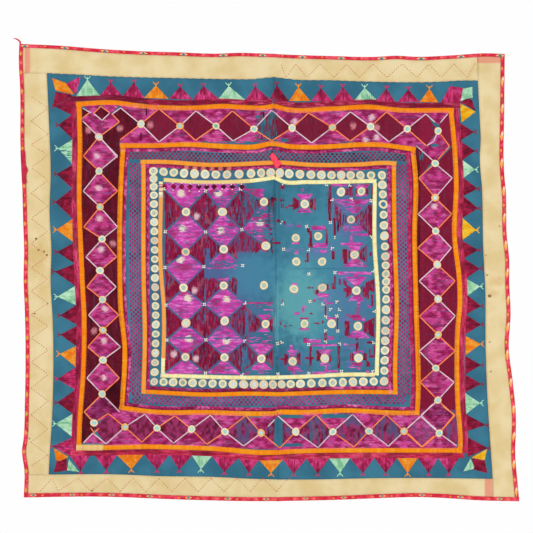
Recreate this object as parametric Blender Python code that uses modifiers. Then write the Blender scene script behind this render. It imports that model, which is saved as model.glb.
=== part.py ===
"""Square wall hanging with mirror work: two panels of teal cotton, a cream border and a printed binding.

It hangs from its top edge. +Z is up, +X is to the right of someone who faces it, and -Y is its face.
The origin is in the middle of the top edge. Lengths are in metres, and the tables are in millimetres.
"""

import math

import bmesh
import bpy
import numpy as np
from mathutils import Vector

MM = 0.001
GAP = 0.3 * MM  # between two pieces that are sewn together

# Thickness of each cloth, and the width of the binding on each side
GROUND_THICK = 2.0 * MM
BORDER_THICK = 1.6 * MM
BINDING_THICK = 3.0 * MM
BINDING_ROUND = 0.8 * MM
MEND_THICK = 1.0 * MM
PATCH_THICK = 1.8 * MM
BINDING_TOP = 6.5 * MM
BINDING_BOTTOM = 7.5 * MM
BINDING_SIDE = 7.6 * MM

# The seam between the two panels leans to the right on its way down
SEAM_TOP_X = 6.6 * MM
SEAM_LEAN = 0.0115
CREASE_HALF = 14 * MM  # half the width of the soft ridge along the seam
FOLD_Z = -408 * MM  # an old crease across the middle of the right panel
FOLD_HALF = 13 * MM
FOLD_MIDDLE_X = 110 * MM
FOLD_REACH = 170 * MM

# The relief of the hung cloth
SEAM_RIDGE = 2.0 * MM
FOLD_DEPTH = 1.1 * MM
WAVE_TOP = 0.5 * MM
WAVE_BOTTOM = 2.8 * MM
WAVE_LENGTH = 460 * MM
WAVE_START = 0.8  # radians, at the middle
ROLL_DEPTH = 0.7 * MM
ROLL_LENGTH = 390 * MM
ROLL_SLANT = 3.0  # radians for each metre to the right
CORNER_LIFT = 4.0 * MM
FULL_DROP = 850 * MM
HALF_WIDTH = 475 * MM

# Mirrors, over their stitched rings
MIRROR_RADIUS = 7.8 * MM
MIRROR_FRONT = 6.6 * MM  # radius at the front of the ring
MIRROR_THICK = 2.0 * MM
MIRROR_SIDES = 12
RAISED_RADIUS = 7.3 * MM
RAISED_FRONT = 6.3 * MM
RAISED_HEIGHT = 1.7 * MM
RAISED_ROOT = 0.5 * MM  # how deep a raised mirror goes into the cloth
RAISED_SIDES = 8

# The loose end of the binding and the thread loop
TAIL_POINTS = 9
LOOP_LENGTH = 13.6 * MM
LOOP_HALF = 1.3 * MM
LOOP_THREAD = 0.4 * MM
LOOP_RISE = math.radians(29)
LOOP_POINTS = 15
LOOP_FOOT_Z = -4 * MM
PATCH_CELLS = 4
LATTICE_ROUNDS = 6  # the lines across and the lines down are fitted to each other this many times


def table(columns, *rows):
    """The rows, given in millimetres, as one array of metres for each named column."""
    return dict(zip(columns.split(), np.array(rows, float).T * MM))


# Where the edges of the whole and of the teal panels pass
TOP_EDGE = table(
    "x z",
    (-476, 19), (-391, 15), (-325, 9.5), (-247, 5), (-179, 3), (-95, 0.5), (-61, 2), (-19, 1),
    (51, -2), (118, -4), (203, -5.5), (237, -3.5), (279, -5.5), (346, -2.7), (414, 1.3), (446, 0),
)
BOTTOM_EDGE = table(
    "x z",
    (-467, -842), (-308, -841), (-171, -845.5), (-19, -849.5), (114, -847.5),
    (228, -842.5), (275, -841), (325, -842.5), (399, -847.5), (473, -849.5),
)
LEFT_EDGE = table(
    "x z",
    (-476, 19), (-477, -6), (-474.5, -66), (-474, -177), (-471, -245), (-469, -313), (-467, -380),
    (-468, -424), (-465.5, -492), (-465.5, -661), (-468, -733), (-470.5, -752), (-466, -792), (-467, -842),
)
RIGHT_EDGE = table(
    "x z",
    (446, 0), (445, -99), (445, -230), (448, -262), (450, -346), (454.5, -390), (454.5, -431),
    (457, -492), (453.5, -560), (460.5, -619), (467, -686), (466, -768), (470.5, -819), (473, -850),
)
PANEL_TOP = table(
    "x z",
    (-424, -37), (-359, -40), (-308, -43), (-247, -45), (-179, -46.5), (-78, -48.5), (-34, -48.5),
    (4, -45), (51, -49.5), (118, -50.5), (169, -52.5), (330, -53), (363, -51), (395, -51),
)
PANEL_BOTTOM = table(
    "x z",
    (-420, -799), (-274, -799), (-213, -801.5), (-112, -803), (-27, -807.5),
    (103, -808.5), (169, -806.5), (266, -805), (424, -807),
)
PANEL_LEFT = table(
    "x z",
    (-424, -37), (-420, -133), (-417, -230), (-419, -296), (-415.5, -380), (-417, -424),
    (-413, -509), (-412, -610), (-414.5, -695), (-418.5, -760), (-420.5, -800),
)
PANEL_RIGHT = table(
    "x z",
    (395, -51), (398, -116), (400, -167), (398.5, -192), (403, -262), (405, -363),
    (409, -448), (409.5, -560), (412.5, -644), (418, -733), (423, -807),
)

# Lines down and across the whole hanging, each with the number of cells up to the next one
COLUMN_LINES = (
    ("left_edge", 1), ("left_binding", 2), ("panel_left", 15), ("crease_left", 1), ("seam", 1),
    ("crease_right", 13), ("panel_right", 2), ("right_binding", 1), ("right_edge", 0),
)
ROW_LINES = (
    ("top_edge", 1), ("top_binding", 2), ("panel_top", 12), ("fold_top", 1), ("fold", 1),
    ("fold_bottom", 13), ("panel_bottom", 1), ("bottom_binding", 1), ("bottom_edge", 0),
)

# The mirrors of the lattice band, side by side from the top left
LATTICE_MIRRORS = {
    "top": table(
        "x z",
        (-245, -133), (-171, -137), (-102.5, -137), (-30.5, -142.5), (42, -140.5),
        (118.5, -139.5), (191, -138), (260.5, -142.5), (319, -146.5),
    ),
    "left": table(
        "x z",
        (-325, -157.5), (-325, -222.5), (-323, -290.5), (-319, -351.5), (-323, -411.5),
        (-318, -466.5), (-317.5, -524.5), (-317.5, -581.5), (-319, -646), (-334.5, -701),
    ),
    "bottom": table(
        "x z",
        (-275.5, -708.5), (-214.5, -710.5), (-149, -712.5), (-85.5, -717.5), (-17, -720),
        (49, -718), (119.5, -718), (188, -716.5), (254.5, -716.5), (321, -720),
    ),
    "right": table(
        "x z",
        (313.5, -208), (313.5, -273), (314.5, -336.5), (317.5, -400), (319, -465.5),
        (319, -533.5), (314.5, -596.5), (318.5, -657.5),
    ),
}

# The mirrors of the centre field
CENTRE_MIRRORS = table(
    "x z",
    (-159.5, -300), (-90.5, -300), (-11.5, -281), (-160, -376), (-88, -371), (-8, -364.5),
    (-164, -444), (-88, -440), (-11.5, -439.5), (-159.5, -511), (-86, -507), (-8.5, -513),
    (-160.5, -575.5), (-86.5, -576.5), (-16.5, -579), (66, -285), (135, -262), (173.5, -261),
    (154, -314.5), (49, -349.5), (91.5, -346), (160.5, -381.5), (50, -394.5), (99, -394.5),
    (45.5, -446.5), (99.5, -444), (164, -449.5), (65.5, -512.5), (117, -512.5), (167, -517),
    (43, -584), (104, -578.5), (168, -577.5),
)

# The inner ring of mirrors: its corners, the steps between mirrors on each side, and at some of the steps
# how far a mirror has drifted along its side and how far it bows to the right or up
RING_CORNERS = {
    "top_left": (-221.5 * MM, -222.5 * MM),
    "top_right": (212.5 * MM, -230.5 * MM),
    "bottom_right": (216.5 * MM, -621.5 * MM),
    "bottom_left": (-220 * MM, -622.5 * MM),
}
RING_SIDES = (
    ("top_left", "top_right", 22, table(
        "step drift bow",
        (0, 0, 0), (4, -0.8, -3.5), (7, 1.7, -4), (9, 7.8, -1), (11, 5.7, 1.3), (13, 1.5, 0),
        (15, 3.4, -1.3), (17, 3, -1.3), (20, -1.3, -0.8), (22, 0, 0),
    )),
    ("top_right", "bottom_right", 21, table(
        "step drift bow",
        (0, 0, 0), (3, -0.8, 2), (5, 1.9, 3), (8, 4.9, 5), (10, 1.2, 5.7), (12, -6.1, 5.7),
        (14, -5.3, 5), (16, -2.5, 3.5), (19, -2.3, 1.5), (21, 0, 0),
    )),
    ("bottom_left", "bottom_right", 23, table(
        "step drift bow",
        (0, 0, 0), (2, -1.9, -1), (8, -2.1, -5), (10, 0, -6), (12, -2.3, -6.1), (14, -6.5, -5.5),
        (15, -6.8, -5), (17, -3.2, -3.5), (20, -1.9, -1.5), (23, 0, 0),
    )),
    ("top_left", "bottom_left", 23, table(
        "step drift bow",
        (0, 0, 0), (2, -5.1, 0.5), (5, -7.2, 1), (9, -6.8, 2), (13, -5.3, 2.6), (17, -4.2, 3.6),
        (20, -2.3, 2.5), (23, 0, 0),
    )),
)

# The mend covers two cells of the left binding, from this many cells below the panel's top
MEND_FIRST = 5
MEND_CELLS = 2

PATCH_CORNERS = table("x z", (5.5, -187), (22, -210), (10.5, -218), (0.5, -194))
TAIL = table(
    "x z radius",
    (-474.2, 19.3, 1.9), (-474.9, 23.2, 1.8), (-477.8, 26, 1.6), (-482.4, 28.6, 1.2), (-487.4, 29.6, 0.5),
)


def smooth(knots, values, at):
    """The height at each place of a smooth curve that passes through the values at its knots."""
    order = np.argsort(knots)
    knots = knots[order]
    values = values[order]
    slopes = np.gradient(values, knots)
    left = np.clip(np.searchsorted(knots, at) - 1, 0, len(knots) - 2)
    span = knots[left + 1] - knots[left]
    t = np.clip((at - knots[left]) / span, 0, 1)
    start = values[left] * (1 + 2 * t) * (1 - t) ** 2 + slopes[left] * span * t * (1 - t) ** 2
    end = values[left + 1] * t * t * (3 - 2 * t) - slopes[left + 1] * span * t * t * (1 - t)
    return start + end


def upright(edge, z):
    return smooth(edge["z"], edge["x"], z)


def level(edge, x):
    return smooth(edge["x"], edge["z"], x)


def seam_x(z):
    return SEAM_TOP_X - SEAM_LEAN * z


def column_lines(z):
    """Each line's x at the heights z."""
    return {
        "left_edge": upright(LEFT_EDGE, z),
        "left_binding": upright(LEFT_EDGE, z) + BINDING_SIDE,
        "panel_left": upright(PANEL_LEFT, z),
        "crease_left": seam_x(z) - CREASE_HALF,
        "seam": seam_x(z),
        "crease_right": seam_x(z) + CREASE_HALF,
        "panel_right": upright(PANEL_RIGHT, z),
        "right_binding": upright(RIGHT_EDGE, z) - BINDING_SIDE,
        "right_edge": upright(RIGHT_EDGE, z),
    }


def row_lines(x):
    """Each line's z at the places x."""
    return {
        "top_edge": level(TOP_EDGE, x),
        "top_binding": level(TOP_EDGE, x) - BINDING_TOP,
        "panel_top": level(PANEL_TOP, x),
        "fold_top": np.full_like(x, FOLD_Z + FOLD_HALF),
        "fold": np.full_like(x, FOLD_Z),
        "fold_bottom": np.full_like(x, FOLD_Z - FOLD_HALF),
        "panel_bottom": level(PANEL_BOTTOM, x),
        "bottom_binding": level(BOTTOM_EDGE, x) + BINDING_BOTTOM,
        "bottom_edge": level(BOTTOM_EDGE, x),
    }


def hump(distance, half):
    """1 in the middle, falling softly to 0 at half and staying there."""
    return np.cos(np.clip(distance / half, -1, 1) * np.pi / 2) ** 2


def relief(x, z):
    """How far back the middle of the cloth hangs. Less is nearer the viewer."""
    drop = np.clip(-z / FULL_DROP, 0, 1)
    wave = (WAVE_TOP + (WAVE_BOTTOM - WAVE_TOP) * drop) * np.sin(2 * np.pi * x / WAVE_LENGTH + WAVE_START)
    roll = ROLL_DEPTH * np.sin(2 * np.pi * z / ROLL_LENGTH + ROLL_SLANT * x)
    corners = CORNER_LIFT * np.abs(x / HALF_WIDTH) ** 4 * drop ** 3
    ridge = SEAM_RIDGE * hump(x - seam_x(z), CREASE_HALF)
    fold = FOLD_DEPTH * hump(z - FOLD_Z, FOLD_HALF) * hump(x - FOLD_MIDDLE_X, FOLD_REACH)
    return wave + roll - corners - ridge + fold


def steps(lines):
    """For each line of cells: the two named lines it lies between, and how far along."""
    found = [
        (name, after, cell / cells)
        for (name, cells), (after, _) in zip(lines, lines[1:])
        for cell in range(cells)
    ]
    last = lines[-1][0]
    return found + [(last, last, 0.0)]


def place_lattice():
    """A point for each crossing of the lines, as an array [row, column, axis]."""
    columns = steps(COLUMN_LINES)
    rows = steps(ROW_LINES)
    x = np.zeros((len(rows), len(columns)))
    z = np.zeros_like(x)
    for _ in range(LATTICE_ROUNDS):
        across = row_lines(x)
        for i, (above, below, t) in enumerate(rows):
            z[i] = across[above][i] * (1 - t) + across[below][i] * t
        down = column_lines(z)
        for j, (before, after, t) in enumerate(columns):
            x[:, j] = down[before][:, j] * (1 - t) + down[after][:, j] * t
    return np.stack([x, relief(x, z), z], axis=2)


def line_number(lines, name):
    cells = 0
    for line, count in lines:
        if line == name:
            return cells
        cells += count
    raise KeyError(name)


def block(lattice, left, right, top, bottom):
    """The part of the lattice between four lines, each rim drawn in by half the gap."""
    rows = slice(line_number(ROW_LINES, top), line_number(ROW_LINES, bottom) + 1)
    columns = slice(line_number(COLUMN_LINES, left), line_number(COLUMN_LINES, right) + 1)
    return drawn_in(lattice[rows, columns])


def drawn_in(points):
    inner = points.copy()
    for rim, near in ((0, 1), (-1, -2)):
        for place, towards in (
            ((rim, slice(None)), (near, slice(None))),
            ((slice(None), rim), (slice(None), near)),
        ):
            way = points[towards] - points[place]
            inner[place] += way / np.linalg.norm(way, axis=-1, keepdims=True) * GAP / 2
    return inner


def linear(value):
    return value / 12.92 if value <= 0.04045 else ((value + 0.055) / 1.055) ** 2.4


def material(name, colour, roughness, metallic=0.0):
    """A Principled material. The colour is a hex value as a screen shows it."""
    made = bpy.data.materials.new(name)
    made.use_nodes = True
    shader = made.node_tree.nodes["Principled BSDF"]
    rgb = [linear(int(colour[i : i + 2], 16) / 255) for i in (1, 3, 5)]
    shader.inputs["Base Color"].default_value = (*rgb, 1.0)
    shader.inputs["Roughness"].default_value = roughness
    shader.inputs["Metallic"].default_value = metallic
    return made


def add_object(name, data, collection, *materials):
    made = bpy.data.objects.new(name, data)
    for each in materials:
        data.materials.append(each)
    collection.objects.link(made)
    return made


def mesh_from(bm, name):
    mesh = bpy.data.meshes.new(name)
    bm.to_mesh(mesh)
    bm.free()
    return mesh


def add_sheet(name, points, thick, cloth, collection):
    """A sheet of cloth whose middle passes through the points."""
    rows, columns = points.shape[:2]
    bm = bmesh.new()
    bmesh.ops.create_grid(bm, x_segments=columns - 1, y_segments=rows - 1, size=0.5)
    for vertex in bm.verts:
        column = round((vertex.co.x + 0.5) * (columns - 1))
        row = round((0.5 - vertex.co.y) * (rows - 1))
        vertex.co = points[row, column]
    made = add_object(name, mesh_from(bm, name), collection, cloth)
    solid = made.modifiers.new("Cloth thickness", "SOLIDIFY")
    solid.thickness = thick
    solid.offset = 0
    return made


def add_binding(name, points, cloth, collection):
    made = add_sheet(name, points, BINDING_THICK, cloth, collection)
    rounding = made.modifiers.new("Folded edges", "BEVEL")
    rounding.width = BINDING_ROUND
    rounding.segments = 1
    rounding.limit_method = "ANGLE"
    rounding.angle_limit = math.radians(60)
    return made


def facing(x, z):
    """The way that the cloth faces at a place."""
    step = 2 * MM
    across = (relief(x + step, z) - relief(x - step, z)) / (2 * step)
    up = (relief(x, z + step) - relief(x, z - step)) / (2 * step)
    return Vector((across, -1, up)).normalized()


def add_disc(bm, x, z, out, radius, front_radius, thick, sides):
    """A low cone on the cloth at (x, z), whose back is this far out from the middle of the cloth."""
    way = facing(x, z)
    middle = Vector((x, relief(x, z), z)) + way * (out + thick / 2)
    turn = Vector((0, 0, 1)).rotation_difference(way).to_matrix().to_4x4()
    turn.translation = middle
    bmesh.ops.create_cone(
        bm, cap_ends=True, segments=sides, radius1=radius, radius2=front_radius, depth=thick, matrix=turn
    )


def ring_places():
    """Where the mirrors of the inner ring sit, each corner once."""
    places = []
    for first, last, count, side in RING_SIDES:
        start = np.array(RING_CORNERS[first])
        end = np.array(RING_CORNERS[last])
        along = (end - start) / np.linalg.norm(end - start)
        bow_way = np.array((0, 1)) if abs(along[0]) > abs(along[1]) else np.array((1, 0))
        for step in range(count + 1):
            drift = smooth(side["step"], side["drift"], step * MM)
            bow = smooth(side["step"], side["bow"], step * MM)
            place = start + (end - start) * step / count + along * drift + bow_way * bow
            if all(np.linalg.norm(place - other) > RAISED_RADIUS for other in places):
                places.append(place)
    return places


def raise_mirrors(ground, places, collection):
    """Joins a low disc to the ground's face at each place."""
    bm = bmesh.new()
    for x, z in places:
        add_disc(
            bm, x, z, GROUND_THICK / 2 - RAISED_ROOT, RAISED_RADIUS, RAISED_FRONT,
            RAISED_HEIGHT + RAISED_ROOT, RAISED_SIDES,
        )
    name = ground.name + "_mirrors"
    discs = add_object(name, mesh_from(bm, name), collection)
    discs.hide_render = True
    discs.display_type = "WIRE"
    joined = ground.modifiers.new("Raised mirrors", "BOOLEAN")
    joined.operation = "UNION"
    joined.solver = "EXACT"
    joined.object = discs


def add_mirror(name, x, z, glass, collection):
    bm = bmesh.new()
    out = GROUND_THICK / 2 + GAP
    add_disc(bm, x, z, out, MIRROR_RADIUS, MIRROR_FRONT, MIRROR_THICK, MIRROR_SIDES)
    add_object(name, mesh_from(bm, name), collection, glass)


def add_patch(name, cloth, collection):
    """The scrap over the seam, between four corners and on the face of the panels."""
    x = PATCH_CORNERS["x"]
    z = PATCH_CORNERS["z"]
    points = np.zeros((PATCH_CELLS + 1, PATCH_CELLS + 1, 3))
    for i in range(PATCH_CELLS + 1):
        for j in range(PATCH_CELLS + 1):
            down = i / PATCH_CELLS
            over = j / PATCH_CELLS
            share = np.array(
                ((1 - down) * (1 - over), (1 - down) * over, down * over, down * (1 - over))
            )
            points[i, j, 0] = x @ share
            points[i, j, 2] = z @ share
    out = GROUND_THICK / 2 + 2 * GAP + PATCH_THICK / 2
    points[..., 1] = relief(points[..., 0], points[..., 2]) - out
    return add_sheet(name, points, PATCH_THICK, cloth, collection)


def add_tube(name, points, radii, bevel_resolution, cloth, collection):
    curve = bpy.data.curves.new(name, "CURVE")
    curve.dimensions = "3D"
    curve.bevel_depth = 1.0
    curve.bevel_resolution = bevel_resolution
    curve.use_fill_caps = True
    spline = curve.splines.new("POLY")
    spline.points.add(len(points) - 1)
    for place, point, radius in zip(spline.points, points, radii):
        place.co = (*point, 1)
        place.radius = radius
    add_object(name, curve, collection, cloth)


def add_tail(name, cloth, collection):
    steps_along = np.linspace(0, 1, TAIL_POINTS)
    knots = np.linspace(0, 1, len(TAIL["x"]))
    x = smooth(knots, TAIL["x"], steps_along)
    z = smooth(knots, TAIL["z"], steps_along)
    radius = smooth(knots, TAIL["radius"], steps_along)
    y = np.full_like(x, relief(TAIL["x"][0], TAIL["z"][0]))
    add_tube(name, np.stack([x, y, z], axis=1), radius, 2, cloth, collection)


def add_loop(name, thread, collection):
    """A long narrow loop whose two ends are sewn to the binding's right corner."""
    turns = np.linspace(0, math.pi, LOOP_POINTS)
    out = LOOP_LENGTH * np.sin(turns)
    aside = LOOP_HALF * np.cos(turns)
    foot_x = upright(RIGHT_EDGE, LOOP_FOOT_Z) + 2 * GAP + LOOP_HALF * math.sin(LOOP_RISE)
    x = foot_x + out * math.cos(LOOP_RISE) - aside * math.sin(LOOP_RISE)
    z = LOOP_FOOT_Z + out * math.sin(LOOP_RISE) + aside * math.cos(LOOP_RISE)
    y = np.full_like(x, relief(foot_x, LOOP_FOOT_Z))
    radii = np.full_like(x, LOOP_THREAD)
    add_tube(name, np.stack([x, y, z], axis=1), radii, 1, thread, collection)


def build():
    for old in list(bpy.data.objects):
        bpy.data.objects.remove(old)
    parts = bpy.data.collections.new("mirror_work_wall_hanging")
    cutters = bpy.data.collections.new("raised_mirrors")
    for collection in (parts, cutters):
        bpy.context.scene.collection.children.link(collection)

    teal = material("teal cotton", "#3A7A93", 0.9)
    cream = material("cream cotton", "#E3D09B", 0.9)
    print_red = material("printed red cotton", "#DE1E38", 0.85)
    crimson = material("crimson cotton", "#C81E3C", 0.85)
    scrap_red = material("bright red cotton", "#FF3250", 0.85)
    thread = material("cotton thread", "#F3E3AC", 0.8)
    glass = material("silvered glass", "#8FC7BC", 0.15, 0.6)

    lattice = place_lattice()
    left = add_sheet(
        "ground_left", block(lattice, "panel_left", "seam", "panel_top", "panel_bottom"),
        GROUND_THICK, teal, parts,
    )
    right = add_sheet(
        "ground_right", block(lattice, "seam", "panel_right", "panel_top", "panel_bottom"),
        GROUND_THICK, teal, parts,
    )
    places = ring_places() + list(zip(CENTRE_MIRRORS["x"], CENTRE_MIRRORS["z"]))
    raise_mirrors(left, [place for place in places if place[0] < seam_x(place[1])], cutters)
    raise_mirrors(right, [place for place in places if place[0] > seam_x(place[1])], cutters)

    for name, lines in (
        ("border_top", ("left_binding", "panel_right", "top_binding", "panel_top")),
        ("border_right", ("panel_right", "right_binding", "top_binding", "bottom_binding")),
        ("border_bottom", ("left_binding", "panel_right", "panel_bottom", "bottom_binding")),
        ("border_left", ("left_binding", "panel_left", "panel_top", "panel_bottom")),
    ):
        add_sheet(name, block(lattice, *lines), BORDER_THICK, cream, parts)
    for name, lines in (
        ("binding_top", ("left_edge", "right_edge", "top_edge", "top_binding")),
        ("binding_right", ("right_binding", "right_edge", "top_binding", "bottom_binding")),
        ("binding_bottom", ("left_edge", "right_edge", "bottom_binding", "bottom_edge")),
        ("binding_left", ("left_edge", "left_binding", "top_binding", "bottom_binding")),
    ):
        add_binding(name, block(lattice, *lines), print_red, parts)

    first = line_number(ROW_LINES, "panel_top") + MEND_FIRST
    mend = lattice[first : first + MEND_CELLS + 1, 0:2].copy()
    mend[..., 1] -= BINDING_THICK / 2 + GAP + MEND_THICK / 2
    add_sheet("binding_mend", drawn_in(mend), MEND_THICK, crimson, parts)
    add_tail("binding_tail", print_red, parts)
    add_loop("corner_loop", thread, parts)
    add_patch("seam_patch", scrap_red, parts)

    for side, mirrors in LATTICE_MIRRORS.items():
        for number, (x, z) in enumerate(zip(mirrors["x"], mirrors["z"]), 1):
            add_mirror(f"mirror_{side}_{number}", x, z, glass, parts)


build()
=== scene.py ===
"""The looks of the mirror work wall hanging: its cloths, its darned silk, its mirrors and its stitches.

It hangs from its top edge. +Z is up, +X is to the right of someone who faces it, and -Y is its face.
Lengths are in metres. The tables of edges and mirrors are in millimetres. The embroidery is drawn on a
chart of squares, as an embroiderer would plan it, with columns counted to the right and rows downwards.
Depths are measured from the middle of the cloth, and less is nearer the viewer.
"""

import math

import bmesh
import bpy
import numpy as np
from mathutils import Matrix, Vector


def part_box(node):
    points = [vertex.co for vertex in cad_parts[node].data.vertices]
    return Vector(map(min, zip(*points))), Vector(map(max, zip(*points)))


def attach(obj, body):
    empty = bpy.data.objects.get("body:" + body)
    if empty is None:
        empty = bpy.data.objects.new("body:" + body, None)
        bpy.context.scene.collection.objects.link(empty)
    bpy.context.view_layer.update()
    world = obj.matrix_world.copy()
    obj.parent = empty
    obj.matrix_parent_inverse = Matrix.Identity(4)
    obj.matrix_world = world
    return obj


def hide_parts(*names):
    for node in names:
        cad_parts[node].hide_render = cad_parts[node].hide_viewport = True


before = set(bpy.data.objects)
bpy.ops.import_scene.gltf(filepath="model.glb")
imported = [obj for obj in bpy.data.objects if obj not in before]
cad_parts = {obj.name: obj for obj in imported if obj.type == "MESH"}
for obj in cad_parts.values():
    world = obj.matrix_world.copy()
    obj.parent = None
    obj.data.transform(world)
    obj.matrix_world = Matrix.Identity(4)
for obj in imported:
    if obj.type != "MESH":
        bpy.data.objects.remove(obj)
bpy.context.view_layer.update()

MM = 0.001

# The width of the binding on each side
BINDING_TOP = 6.5 * MM
BINDING_BOTTOM = 7.5 * MM
BINDING_SIDE = 7.6 * MM

# The seam between the two panels leans to the right on its way down
SEAM_TOP_X = 6.6 * MM
SEAM_LEAN = 0.0115
CREASE_HALF = 14 * MM  # half the width of the soft ridge along the seam
FOLD_Z = -408 * MM  # an old crease across the middle of the right panel
FOLD_HALF = 13 * MM
FOLD_MIDDLE_X = 110 * MM
FOLD_REACH = 170 * MM

# The relief of the hung cloth
SEAM_RIDGE = 2.0 * MM
FOLD_DEPTH = 1.1 * MM
WAVE_TOP = 0.5 * MM
WAVE_BOTTOM = 2.8 * MM
WAVE_LENGTH = 460 * MM
WAVE_START = 0.8  # radians, at the middle
ROLL_DEPTH = 0.7 * MM
ROLL_LENGTH = 390 * MM
ROLL_SLANT = 3.0  # radians for each metre to the right
CORNER_LIFT = 4.0 * MM
FULL_DROP = 850 * MM
HALF_WIDTH = 475 * MM


def table(columns, *rows):
    """The rows, given in millimetres, as one array of metres for each named column."""
    return dict(zip(columns.split(), np.array(rows, float).T * MM))


# Where the edges of the whole and of the teal panels pass
TOP_EDGE = table(
    "x z",
    (-476, 19), (-391, 15), (-325, 9.5), (-247, 5), (-179, 3), (-95, 0.5), (-61, 2), (-19, 1),
    (51, -2), (118, -4), (203, -5.5), (237, -3.5), (279, -5.5), (346, -2.7), (414, 1.3), (446, 0),
)
BOTTOM_EDGE = table(
    "x z",
    (-467, -842), (-308, -841), (-171, -845.5), (-19, -849.5), (114, -847.5),
    (228, -842.5), (275, -841), (325, -842.5), (399, -847.5), (473, -849.5),
)
LEFT_EDGE = table(
    "x z",
    (-476, 19), (-477, -6), (-474.5, -66), (-474, -177), (-471, -245), (-469, -313), (-467, -380),
    (-468, -424), (-465.5, -492), (-465.5, -661), (-468, -733), (-470.5, -752), (-466, -792), (-467, -842),
)
RIGHT_EDGE = table(
    "x z",
    (446, 0), (445, -99), (445, -230), (448, -262), (450, -346), (454.5, -390), (454.5, -431),
    (457, -492), (453.5, -560), (460.5, -619), (467, -686), (466, -768), (470.5, -819), (473, -850),
)
PANEL_TOP = table(
    "x z",
    (-424, -37), (-359, -40), (-308, -43), (-247, -45), (-179, -46.5), (-78, -48.5), (-34, -48.5),
    (4, -45), (51, -49.5), (118, -50.5), (169, -52.5), (330, -53), (363, -51), (395, -51),
)
PANEL_BOTTOM = table(
    "x z",
    (-420, -799), (-274, -799), (-213, -801.5), (-112, -803), (-27, -807.5),
    (103, -808.5), (169, -806.5), (266, -805), (424, -807),
)
PANEL_LEFT = table(
    "x z",
    (-424, -37), (-420, -133), (-417, -230), (-419, -296), (-415.5, -380), (-417, -424),
    (-413, -509), (-412, -610), (-414.5, -695), (-418.5, -760), (-420.5, -800),
)
PANEL_RIGHT = table(
    "x z",
    (395, -51), (398, -116), (400, -167), (398.5, -192), (403, -262), (405, -363),
    (409, -448), (409.5, -560), (412.5, -644), (418, -733), (423, -807),
)

# The mirrors of the centre field
CENTRE_MIRRORS = table(
    "x z",
    (-159.5, -300), (-90.5, -300), (-11.5, -281), (-160, -376), (-88, -371), (-8, -364.5),
    (-164, -444), (-88, -440), (-11.5, -439.5), (-159.5, -511), (-86, -507), (-8.5, -513),
    (-160.5, -575.5), (-86.5, -576.5), (-16.5, -579), (66, -285), (135, -262), (173.5, -261),
    (154, -314.5), (49, -349.5), (91.5, -346), (160.5, -381.5), (50, -394.5), (99, -394.5),
    (45.5, -446.5), (99.5, -444), (164, -449.5), (65.5, -512.5), (117, -512.5), (167, -517),
    (43, -584), (104, -578.5), (168, -577.5),
)

# The inner ring of mirrors: its corners, the steps between mirrors on each side, and at some of the steps
# how far a mirror has drifted along its side and how far it bows to the right or up
RING_CORNERS = {
    "top_left": (-221.5 * MM, -222.5 * MM),
    "top_right": (212.5 * MM, -230.5 * MM),
    "bottom_right": (216.5 * MM, -621.5 * MM),
    "bottom_left": (-220 * MM, -622.5 * MM),
}
RING_SIDES = (
    ("top_left", "top_right", 22, table(
        "step drift bow",
        (0, 0, 0), (4, -0.8, -3.5), (7, 1.7, -4), (9, 7.8, -1), (11, 5.7, 1.3), (13, 1.5, 0),
        (15, 3.4, -1.3), (17, 3, -1.3), (20, -1.3, -0.8), (22, 0, 0),
    )),
    ("top_right", "bottom_right", 21, table(
        "step drift bow",
        (0, 0, 0), (3, -0.8, 2), (5, 1.9, 3), (8, 4.9, 5), (10, 1.2, 5.7), (12, -6.1, 5.7),
        (14, -5.3, 5), (16, -2.5, 3.5), (19, -2.3, 1.5), (21, 0, 0),
    )),
    ("bottom_left", "bottom_right", 23, table(
        "step drift bow",
        (0, 0, 0), (2, -1.9, -1), (8, -2.1, -5), (10, 0, -6), (12, -2.3, -6.1), (14, -6.5, -5.5),
        (15, -6.8, -5), (17, -3.2, -3.5), (20, -1.9, -1.5), (23, 0, 0),
    )),
    ("top_left", "bottom_left", 23, table(
        "step drift bow",
        (0, 0, 0), (2, -5.1, 0.5), (5, -7.2, 1), (9, -6.8, 2), (13, -5.3, 2.6), (17, -4.2, 3.6),
        (20, -2.3, 2.5), (23, 0, 0),
    )),
)

PATCH_CORNERS = table("x z", (5.5, -187), (22, -210), (10.5, -218), (0.5, -194))
TAIL = table(
    "x z radius",
    (-474.2, 19.3, 1.9), (-474.9, 23.2, 1.8), (-477.8, 26, 1.6), (-482.4, 28.6, 1.2), (-487.4, 29.6, 0.5),
)

# The chart: the size of a square, and the column and row that pass through the origin
SQUARE = 1.9 * MM
MIDDLE_COLUMN = 270
TOP_ROW = 54

# How the cloths lie on each other at their seams
PANEL_THICK = 0.8 * MM
STRIP_THICK = 1.0 * MM
TUCK = 5 * MM  # how far a cloth runs on beneath its neighbour, and how long it takes to rise or sink
PANEL_SINK = 0.45 * MM
STRIP_RISE = 0.55 * MM
STRIP_SINK = 0.6 * MM
RIM = 2 * MM  # from the folded edge of the binding to the cloth inside it
SCALLOP = 0.9 * MM
SCALLOP_LENGTH = 15.2 * MM
MIRROR_REACH = 7.3 * MM  # two mirrors of the inner ring are never nearer than this


def smooth(knots, values, at):
    """The height at each place of a smooth curve that passes through the values at its knots."""
    order = np.argsort(knots)
    knots = knots[order]
    values = values[order]
    slopes = np.gradient(values, knots)
    left = np.clip(np.searchsorted(knots, at) - 1, 0, len(knots) - 2)
    span = knots[left + 1] - knots[left]
    t = np.clip((at - knots[left]) / span, 0, 1)
    start = values[left] * (1 + 2 * t) * (1 - t) ** 2 + slopes[left] * span * t * (1 - t) ** 2
    end = values[left + 1] * t * t * (3 - 2 * t) - slopes[left + 1] * span * t * t * (1 - t)
    return start + end


def upright(edge, z):
    return smooth(edge["z"], edge["x"], z)


def level(edge, x):
    return smooth(edge["x"], edge["z"], x)


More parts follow.
